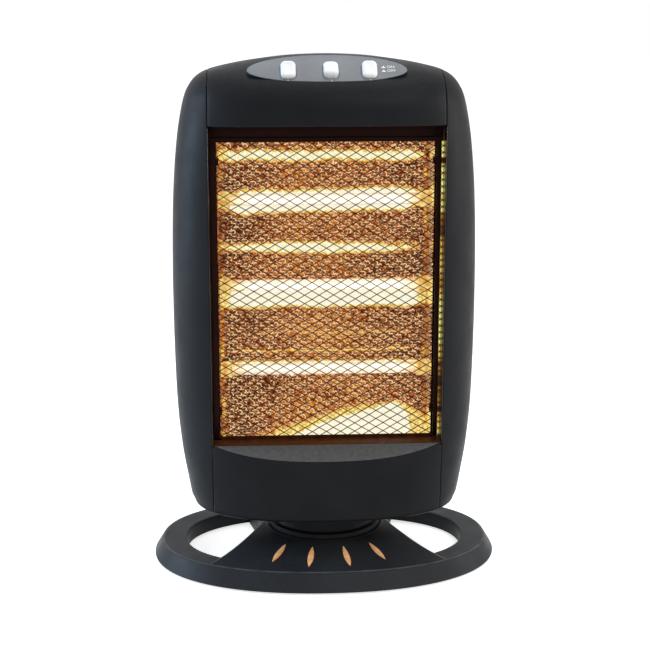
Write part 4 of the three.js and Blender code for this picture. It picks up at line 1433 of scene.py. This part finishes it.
net = tubesMesh(wirePaths(guardValues), guardValues["wire"])
# the net's brown paints the lamps' light on its wires
makePiece(net, "guard_net", "heater", finish["lampLitEnamel"], ["guard_mesh"])
for node in ("guard_bar_left", "guard_bar_right", "guard_rail_top"):
    low, high = [Vector(corner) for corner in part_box(node)]
    if "right" in node:
        high.x = guardValues["barRight"]
    bar = roundedBox(low, high, guardValues["edge"], 3)
    makePiece(bar, node + "_rod", "heater", finish["blackEnamel"], [node])
low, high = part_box("guard_mesh")
inset, (sheetFront, sheetBack) = guardValues["hemInset"], guardValues["hemSheet"]
hemLow, hemHigh = guardValues["hem"]
hem = roundedBox((low[0] + inset, low[1] - sheetFront, hemLow),
                 (high[0] - inset, low[1] - sheetBack, hemHigh), 0.05 * mm)
makePiece(hem, "guard_hem", "heater", finish["blackEnamel"])
print("guard made")


# ---- glow of the lamps in the reflector
glowValues = {
    "cell": (7.9, 5.7),  # mm, the guard as the reflector shows it
    "ring": 1.9,
    "lift": (0.7, 0.45),  # mm that the bright side of a cell lies right and up
    "wobble": 1.6,
    "lean": 0.237,  # what is further back is seen through a lower part of the guard
    "columns": 97,  # mm from the middle, where the side columns start
    "bands": [  # centre, slope, half height, left end, right end, taper, softness, strength
        (399, -0.004, 5.6, -110, 99, 16, 3, 0.93),
        (356, 0.014, 12.6, -105, 104, 26, 3.6, 0.97),
        (309, -0.01, 6.4, -112, 96, 76, 3, 0.93),
        (313.4, 0, 0.7, -104, 101, 8, 1, 0.75),
        (263.5, 0.004, 14.4, -112, 108, 16, 3, 0.97),
        (224.7, 0, 1.2, -70, 92, 20, 1.4, 0.72),
        (206.5, 0.01, 1.6, -96, 96, 20, 1.8, 0.8),
        (190, 0.004, 6.4, -110, 104, 14, 2.6, 0.97),
        (116, 0.3, 28, -108, 40, 20, 5, 0.72),
        (124, 0, 29, 0, 110, 30, 5, 0.72),
        (110, 0.28, 25, -76, 84, 13, 3, 0.97),
    ],
    "ramp": [
        (0, (0.03, 0.005, 0.002)), (0.2, (0.12, 0.022, 0.006)), (0.4, (0.4, 0.088, 0.012)),
        (0.55, (0.62, 0.25, 0.03)), (0.68, (0.78, 0.55, 0.07)), (0.8, (0.9, 0.8, 0.3)),
        (0.9, (0.93, 0.88, 0.58)), (1, (0.97, 0.93, 0.78)),
    ],
    "line": (1, 0.68, 0.35),
    "shift": (3.7, 1.9, 5.3),  # between the places that two unlike patterns read
    "linerCell": (9, 6.4),
    "linerDark": [(157, 3.6, 0), (399, 3.2, 0), (338, 12, 0.3)],  # centre, half height, share kept
    "linerRamp": [(0, (0.05, 0.015, 0.006)), (0.4, (0.6, 0.3, 0.04)), (1, (0.86, 0.82, 0.24))],
}


def makeGlowBand():
    tree, get, give = newGroup(
        "glowBand",
        [(title, "Float", 0.0) for title in (
            "Across", "Height", "Centre", "Slope", "Half", "Left", "Right", "Taper", "Soft", "Strength")],
        [("Level", "Float", None)])

    def do(*parts, **more):
        return maths(tree, *parts, **more)

    fromLeft = do("SUBTRACT", get["Across"], get["Left"])
    fromRight = do("SUBTRACT", get["Right"], get["Across"])
    ends = do("DIVIDE", do("MINIMUM", fromLeft, fromRight), get["Taper"], clamp=True)
    half = do("MULTIPLY", get["Half"], do("SQRT", ends))
    middle = do("MULTIPLY_ADD", get["Across"], get["Slope"], get["Centre"])
    away = do("ABSOLUTE", do("SUBTRACT", get["Height"], middle))
    edge = fit(tree, away, do("SUBTRACT", half, get["Soft"]), do("ADD", half, get["Soft"]), 1, 0)
    gate = fit(tree, ends, 0, 0.05)
    level = do("MULTIPLY", do("MULTIPLY", edge, gate), get["Strength"])
    tree.links.new(level, give["Level"])
    return tree


def makeCells():
    # distance to the nearest of the staggered cells in which the guard is mirrored
    tree, get, give = newGroup(
        "mirroredCells",
        [("Across", "Float", 0.0), ("Height", "Float", 0.0), ("Width", "Float", 7.9),
         ("Tall", "Float", 5.6)],
        [("Middle", "Float", None)])

    def join(x, y):
        node = tree.nodes.new("ShaderNodeCombineXYZ")
        feed(tree, node.inputs["X"], x)
        feed(tree, node.inputs["Y"], y)
        return node.outputs[0]

    half = [maths(tree, "MULTIPLY", get[title], 0.5) for title in ("Width", "Tall")]
    ways = []
    for shift in (0, 1):
        place = [maths(tree, "MULTIPLY_ADD", h, shift, get[title])
                 for h, title in zip(half, ("Across", "Height"))]
        place = [maths(tree, "WRAP", p, h, maths(tree, "MULTIPLY", h, -1))
                 for p, h in zip(place, half)]
        away = tree.nodes.new("ShaderNodeVectorMath")
        away.operation = "LENGTH"
        tree.links.new(join(*place), away.inputs[0])
        ways.append(away.outputs["Value"])
    tree.links.new(maths(tree, "MINIMUM", *ways), give["Middle"])
    return tree


glowBand, mirroredCells = makeGlowBand(), makeCells()


def otherPlace(tree, place, shift):
    shifted = tree.nodes.new("ShaderNodeVectorMath")
    shifted.operation = "ADD"
    tree.links.new(place, shifted.inputs[0])
    shifted.inputs[1].default_value = shift
    return shifted.outputs[0]


def makeGlow(name, v, sideways=False):
    # painted reflection: the lamps' light and the lit guard mirrored in the reflector and side plates,
    # given as emission
    material, tree, place, shader = startFinish(name)

    def do(*parts, **more):
        return maths(tree, *parts, **more)

    x, y, z = placeInMm(tree, place)
    across = do("ADD", x, do("SUBTRACT", y, 5)) if sideways else x
    height = do("ADD", z, do("MULTIPLY", do("SUBTRACT", y, 5), v["lean"]))
    ripple = noise(tree, place, 55, 2)
    height = do("ADD", height, fit(tree, ripple, 0.3, 0.7, -1.5, 1.5))
    level = None
    for centre, slope, half, left, right, taper, soft, strength in v["bands"]:
        band = placeGroup(tree, glowBand, Across=across, Height=height, Centre=centre, Slope=slope,
                          Half=half, Left=left, Right=right, Taper=taper, Soft=soft,
                          Strength=strength)["Level"]
        level = band if level is None else do("MAXIMUM", level, band)
    fromMiddle = do("ABSOLUTE", across)
    haze = fit(tree, noise(tree, place, 16, 2), 0.3, 0.7, 0.17, 0.34)
    haze = do("ADD", haze, fit(tree, fromMiddle, 20, 96, 0.1, -0.08, smooth=True))
    fringe = fit(tree, fromMiddle, v["columns"] - 9, v["columns"], 0, 0.26, smooth=True)
    level = do("SUBTRACT", level, do("MULTIPLY", fringe, fit(tree, level, 0.7, 1)))
    columns = fit(tree, fromMiddle, v["columns"] - 3, v["columns"] + 2, 0, 0.42, smooth=True)
    for scale, *limits in ((34, 0.35, 0.6, 0.75, 1.6), (120, 0.35, 0.65, 0.5, 1.15)):
        columns = do("MULTIPLY", columns, fit(tree, noise(tree, place, scale, 1), *limits))
    width, tall = v["cell"]
    wobble = [fit(tree, noise(tree, shifted, 42, 2, 0.6), 0.2, 0.8, -v["wobble"], v["wobble"])
              for shifted in (place, otherPlace(tree, place, v["shift"]))]
    spots = [do("ADD", across, wobble[0]), do("ADD", height, wobble[1])]
    cells = placeGroup(tree, mirroredCells, Across=spots[0], Height=spots[1], Width=width, Tall=tall)
    lifted = [do("ADD", spot, shift) for spot, shift in zip(spots, v["lift"])]
    beside = placeGroup(tree, mirroredCells, Across=lifted[0], Height=lifted[1], Width=width, Tall=tall)
    tint = fit(tree, noise(tree, place, 190, 1), 0.3, 0.7)
    haze = do("ADD", haze, do("MULTIPLY_ADD", tint, 0.22, -0.1))
    level = do("MAXIMUM", do("MAXIMUM", level, haze), columns)
    if sideways:
        level = do("MULTIPLY", level, 0.74)
    inside = fit(tree, cells["Middle"], v["ring"] - 0.3, v["ring"] + 0.4, 0.08, -0.12)
    damp = fit(tree, level, 0.9, 1, 1, 0.15)
    level = do("ADD", level, do("MULTIPLY", inside, damp), clamp=True)
    colour = rampColour(tree, level, v["ramp"])
    ringed = do("ABSOLUTE", do("SUBTRACT", cells["Middle"], v["ring"]))
    strokes = fit(tree, ringed, 0.25, 0.72, 1, 0)
    strokes = do("MULTIPLY", strokes, fit(tree, do("SUBTRACT", beside["Middle"], cells["Middle"]),
                                          -0.45, 0.15, 0.25, 1))
    broken = fit(tree, noise(tree, place, 250, 1), 0.36, 0.5)
    quiet = do("MULTIPLY", fit(tree, level, 0.55, 0.85, 1, 0),
               fit(tree, fromMiddle, v["columns"] - 3, v["columns"] + 2, 1, 0.25))
    mask = do("MULTIPLY", do("MULTIPLY", strokes, broken), quiet)
    colour = mixColours(tree, mask, colour, (*v["line"], 1))
    tree.links.new(colour, shader.inputs["Emission Color"])
    shader.inputs["Emission Strength"].default_value = 1
    tree.links.new(mixColours(tree, level, (0.012, 0.003, 0.001, 1), (0.03, 0.016, 0.006, 1)),
                   shader.inputs["Base Color"])
    tree.links.new(fit(tree, ripple, 0.3, 0.7, 0.35, 0.5), shader.inputs["Roughness"])
    shader.inputs["Metallic"].default_value = 1
    return material


def makeLit(name, colour, second, scale, strength, base, transmission=0, roughness=0.3, ends=None):
    # something that glows, a little unevenly, and less towards its ends: the tubes and coils glow by
    # themselves, and on the caps the glow is painted light
    material, tree, place, shader = startFinish(name)
    drift = fit(tree, noise(tree, place, scale, 2), 0.35, 0.65)
    glow = mixColours(tree, drift, (*colour, 1), (*second, 1))
    if ends:
        axes = tree.nodes.new("ShaderNodeSeparateXYZ")
        tree.links.new(place, axes.inputs[0])
        cooler = fit(tree, maths(tree, "ABSOLUTE", axes.outputs["X"]), *ends, smooth=True)
        glow = mixColours(tree, cooler, glow, (0.75, 0.4, 0.06, 1))
    tree.links.new(glow, shader.inputs["Emission Color"])
    shader.inputs["Emission Strength"].default_value = strength
    tree.links.new(mixColours(tree, drift, (*base, 1), (*[c * 0.9 for c in base], 1)),
                   shader.inputs["Base Color"])
    tree.links.new(fit(tree, drift, 0, 1, roughness, roughness * 1.3), shader.inputs["Roughness"])
    shader.inputs["Transmission Weight"].default_value = transmission
    return material


def makeLinerGlow(name, v):
    # the lit guard as the glossy side of the opening mirrors it
    material, tree, place, shader = startFinish(name)
    x, y, z = placeInMm(tree, place)
    across = maths(tree, "ADD", x, y)
    cells = placeGroup(tree, mirroredCells, Across=across, Height=z, Width=v["linerCell"][0],
                       Tall=v["linerCell"][1])
    drift = fit(tree, noise(tree, place, 17, 2), 0.34, 0.56)
    tint = fit(tree, noise(tree, place, 140, 1), 0.3, 0.7, -0.25, 0.2)
    level = maths(tree, "ADD", drift, tint, clamp=True)
    for centre, half, kept in v["linerDark"]:
        away = maths(tree, "ABSOLUTE", maths(tree, "SUBTRACT", z, centre))
        level = maths(tree, "MULTIPLY", level, fit(tree, away, half - 1, half + 1, kept, 1))
    level = maths(tree, "MULTIPLY", level, fit(tree, x, -5, 5, 0.12, 1))
    colour = rampColour(tree, level, v["linerRamp"])
    wire = fit(tree, cells["Middle"], 2.3, 2.8)
    tree.links.new(mixColours(tree, wire, colour, (0.02, 0.006, 0.004, 1)),
                   shader.inputs["Emission Color"])
    shader.inputs["Emission Strength"].default_value = 1
    tree.links.new(mixColours(tree, wire, (0.02, 0.014, 0.006, 1), (0.006, 0.005, 0.005, 1)),
                   shader.inputs["Base Color"])
    tree.links.new(fit(tree, drift, 0, 1, 0.2, 0.3), shader.inputs["Roughness"])
    shader.inputs["IOR"].default_value = 1.2
    return material


finish["linerGlow"] = makeLinerGlow("litLiner", glowValues)
finish["glow"] = makeGlow("litReflector", glowValues)
finish["sideGlow"] = makeGlow("litSidePlate", glowValues, sideways=True)
finish["quartz"] = makeLit("quartzGlass", (1, 0.95, 0.8), (1, 1, 0.9), 30, 0.18, (1, 0.98, 0.94), 0.9, 0.08,
                           ends=(0.07, 0.092))
finish["filament"] = makeLit("tungsten", (1, 0.86, 0.5), (1, 0.96, 0.8), 90, 0.9, (0.3, 0.28, 0.25),
                             ends=(0.074, 0.094))
# the caps are no lamp: their emission paints the lamps' light on the ceramic
finish["litCeramic"] = makeLit("litCeramic", (0.7, 0.24, 0.015), (0.95, 0.8, 0.28), 190, 0.9,
                               (0.05, 0.03, 0.012), 0, 0.6)
print("glow mixed")


# ---- reflector, lamps and their sockets
lampValues = {
    "heights": (360.5 * mm, 277.5 * mm, 194.5 * mm),
    "y": -20 * mm,
    "radius": 5.5 * mm,
    "glass": 1 * mm,
    "tubeHalf": 93.2 * mm,
    "coilHalf": 95.5 * mm,
    "coilRadius": 1.3 * mm,
    "coilWire": 0.22 * mm,
    "coilPitch": 1.9 * mm,
    "capStart": 90.2 * mm,
    "capEnd": 101.2 * mm,
    "capRadius": 8 * mm,
    "capSocket": 6 * mm,
    "pip": 1.5 * mm,  # where the tube was closed
}
reflectorValues = {
    "pitch": 83 * mm,
    "bottom": 135 * mm,
    "top": 420 * mm,
    "lip": 3.5 * mm,
    "back": 13 * mm,
    "depth": 22 * mm,
    "curve": 2.2,
    "steps": 22,
    "half": 101.2 * mm,
    "sheet": 1 * mm,
}


def makeReflector(v, lamps):
    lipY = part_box("reflector")[0][1]
    line = [Vector((0, lipY, v["bottom"] - v["lip"]))]
    heights = sorted(lamps["heights"])
    for trough, z in enumerate(heights):
        for i in range(1 if trough else 0, v["steps"] + 1):
            u = i / v["steps"] * 2 - 1
            height = z + u * v["pitch"] / 2
            if trough == 0 and u < 0:
                height = z + u * (z - v["bottom"])
            if trough == len(heights) - 1 and u > 0:
                height = z + u * (v["top"] - z)
            line.append(Vector((0, v["back"] - v["depth"] * abs(u) ** v["curve"], height)))
    line.append(Vector((0, lipY, v["top"] + v["lip"])))
    across = 12
    columns = []
    for i in range(across + 1):
        x = v["half"] * (2 * i / across - 1)
        columns.append([Vector((x, p.y, p.z)) for p in line])
    bm = columnsToMesh(columns)
    giveWall(bm, v["sheet"], (0, 0.3, 0.28))
    return bm


def alongX(bm, y, z, mirrored=False):
    # lays something turned about Z down along X
    if mirrored:
        bmesh.ops.scale(bm, vec=(1, 1, -1), verts=bm.verts)
        bmesh.ops.recalc_face_normals(bm, faces=bm.faces)
    bm.transform(Matrix.Translation((0, y, z)) @ Matrix.Rotation(math.pi / 2, 4, "Y"))
    return bm


def makeTube(v, z):
    outer, inner, half = v["radius"], v["radius"] - v["glass"], v["tubeHalf"]
    bm = turnedMesh([(inner, -half), (outer, -half), (outer, half), (inner, half)], 40)
    pip = bmesh.ops.create_uvsphere(bm, u_segments=16, v_segments=10, radius=v["pip"])["verts"]
    bmesh.ops.scale(bm, vec=(1.6, 1, 1), verts=pip)
    bmesh.ops.translate(bm, vec=(outer - 0.6 * mm, 0, -half * 0.35), verts=pip)
    return alongX(bm, v["y"], z)


def makeCoil(v, z):
    turns = 2 * v["coilHalf"] / v["coilPitch"]
    count = int(turns * 10)
    path = []
    for i in range(count + 1):
        angle = 2 * math.pi * turns * i / count
        x = -v["coilHalf"] + 2 * v["coilHalf"] * i / count
        y, up = v["coilRadius"] * math.cos(angle), v["coilRadius"] * math.sin(angle)
        path.append(Vector((x, v["y"] + y, z + up)))
    return tubesMesh([path], v["coilWire"])


def makeCap(v, z, side):
    start, end, radius = v["capStart"], v["capEnd"], v["capRadius"]
    hole, edge = v["radius"] + 0.3 * mm, 0.8 * mm
    profile = [(0, start + v["capSocket"]), (hole, start + v["capSocket"]), (hole, start + edge / 2),
               (hole + edge / 2, start), (radius - edge, start), (radius - edge * 0.3, start + edge * 0.3),
               (radius, start + edge), (radius, end - 2.4 * mm), (radius - 1.1 * mm, end - 2 * mm),
               (radius - 1.1 * mm, end), (0, end)]
    return alongX(turnedMesh(profile, 48, closed=False), v["y"], z, mirrored=side < 0)


makePiece(makeReflector(reflectorValues, lampValues), "lit_reflector", "heater", finish["glow"],
          ["reflector"])
for i, z in enumerate(lampValues["heights"]):
    row = i + 1
    makePiece(makeTube(lampValues, z), "quartz_tube_%d" % row, "heater", finish["quartz"],
              ["lamp_tube_%d" % row])
    makePiece(makeCoil(lampValues, z), "coil_%d" % row, "heater", finish["filament"],
              ["lamp_filament_%d" % row])
    for side, word in sides:
        makePiece(makeCap(lampValues, z, side), "cap_%d_%s" % (row, word), "heater", finish["litCeramic"],
                  ["lamp_cap_%d_%s" % (row, word)])
print("lamps made")


# ---- sides of the opening
linerValues = {
    "ends": 0.05 * mm,  # stops short of the pillar and reaches behind the front pieces
    "front": 1.2 * mm,  # behind the seam
    "back": 0.2 * mm,  # in front of the ledge's back
    "low": 0.5 * mm,
    "high": 0.8 * mm,
    "edge": 0.06 * mm,
    "gapSide": 0.1 * mm,
    "gapSheet": (0.4 * mm, 0.1 * mm),
    "gapLow": 0.3 * mm,
}


def makeLiner(side, v):
    # thin glossy strip on the inner side of the opening
    low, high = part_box("guard_mesh")
    inner, outer = sorted((side * (pillarX - v["ends"]), side * (frontX - v["ends"])))
    return roundedBox((inner, seamFrontY + v["front"], low[2] + v["low"]),
                      (outer, ledgeBack - v["back"], high[2] - v["high"]), v["edge"])


def makeGap(v):
    # the lit strip between the right bar and the side of the opening
    low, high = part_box("guard_bar_right")
    front, back = v["gapSheet"]
    return roundedBox((guardValues["barRight"] + v["gapSide"], high[1] - front, low[2] + v["gapLow"]),
                      (frontX - v["gapSide"], high[1] - back, guardValues["hem"][0]), v["edge"])


for side, word in sides:
    makePiece(makeLiner(side, linerValues), "opening_liner_" + word, "heater", finish["glossBlack"])
makePiece(makeGap(linerValues), "guard_gap_right", "heater", finish["linerGlow"])


# ---- strips behind the joints, so that no light passes
stripValues = {
    "inset": 2.75 * mm,  # behind the skin
    "sheet": 0.8 * mm,
    "across": (102 * mm, 111.55 * mm),  # on the skin; behind it the strip ends short of the pillar
    "heights": (436.4 * mm, 474 * mm),
    "floor": (-41.4 * mm, -36.5 * mm),  # front and back of the strip under the reflector
    "floorTop": 129.9 * mm,
    "upstand": (-38.7 * mm, -37.7 * mm),
    "upstandTop": 132.6 * mm,
}


def makeJointStrip(side, v):
    # lies inside the head, along its joint with a pillar
    def skin(x, z):
        return Vector((x, surfaceY(x, z, "front"), z))

    def place(u, t):
        x = side * (v["across"][0] + (v["across"][1] - v["across"][0]) * u)
        z = v["heights"][0] + (v["heights"][1] - v["heights"][0]) * t
        here = skin(x, z)
        normal = (skin(x + 0.1 * mm, z) - here).cross(skin(x, z + 0.1 * mm) - here).normalized()
        return here - normal * v["inset"]

    bm = mappedGrid(8, 36, place)
    giveWall(bm, v["sheet"], (0, 0.05, 0.4))
    return bm


def makeFloorStrip(v):
    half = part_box("reflector")[1][0]
    (front, back), (standFront, standBack), top = v["floor"], v["upstand"], v["floorTop"]
    strip = boxMesh((-half, front, top - v["sheet"]), (half, back, top))
    boxMesh((-half, standFront, top + 0.05 * mm), (half, standBack, v["upstandTop"]), strip)
    roundEdges(strip, 0.1 * mm, segments=1)
    return strip


for side, word in sides:
    makePiece(makeJointStrip(side, stripValues), "joint_strip_" + word, "heater", finish["blackPlastic"])
# painted reflection: the strip under the reflector shows the brown of the lamps' glow
makePiece(makeFloorStrip(stripValues), "reflector_strip", "heater", finish["ledgeGlowReflection"])
print("strips made")


# ---- the solids that stay as they are get their finishes
nodeFinishes = {
    "base_plate": "charcoalSatin", "foot_": "footRubber", "cord_gland": "footRubber",
    "tip_switch_body": "blackPlastic", "swivel_washer": "whitePlastic", "centre_post": "zincSteel",
    "retaining_ring": "zincSteel", "oscillation_arm": "zincSteel", "tip_switch_plunger": "whitePlastic",
    "oscillation_motor": "zincSteel", "motor_bracket": "zincSteel", "floor_pan": "blackPlastic",
    "switch_body_": "blackPlastic", "side_plate_": "sideGlow", "heat_shield": "zincSteel",
    "thermal_cutout": "blackPlastic", "terminal_block": "whitePlastic", "guard_clip_": "blackEnamel",
    "oscillation_crank": "whitePlastic",
}
for name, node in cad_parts.items():
    look = next((look for start, look in nodeFinishes.items() if name.startswith(start)), "blackPlastic")
    node.data.materials.clear()
    node.data.materials.append(finish[look])
print("solids finished")
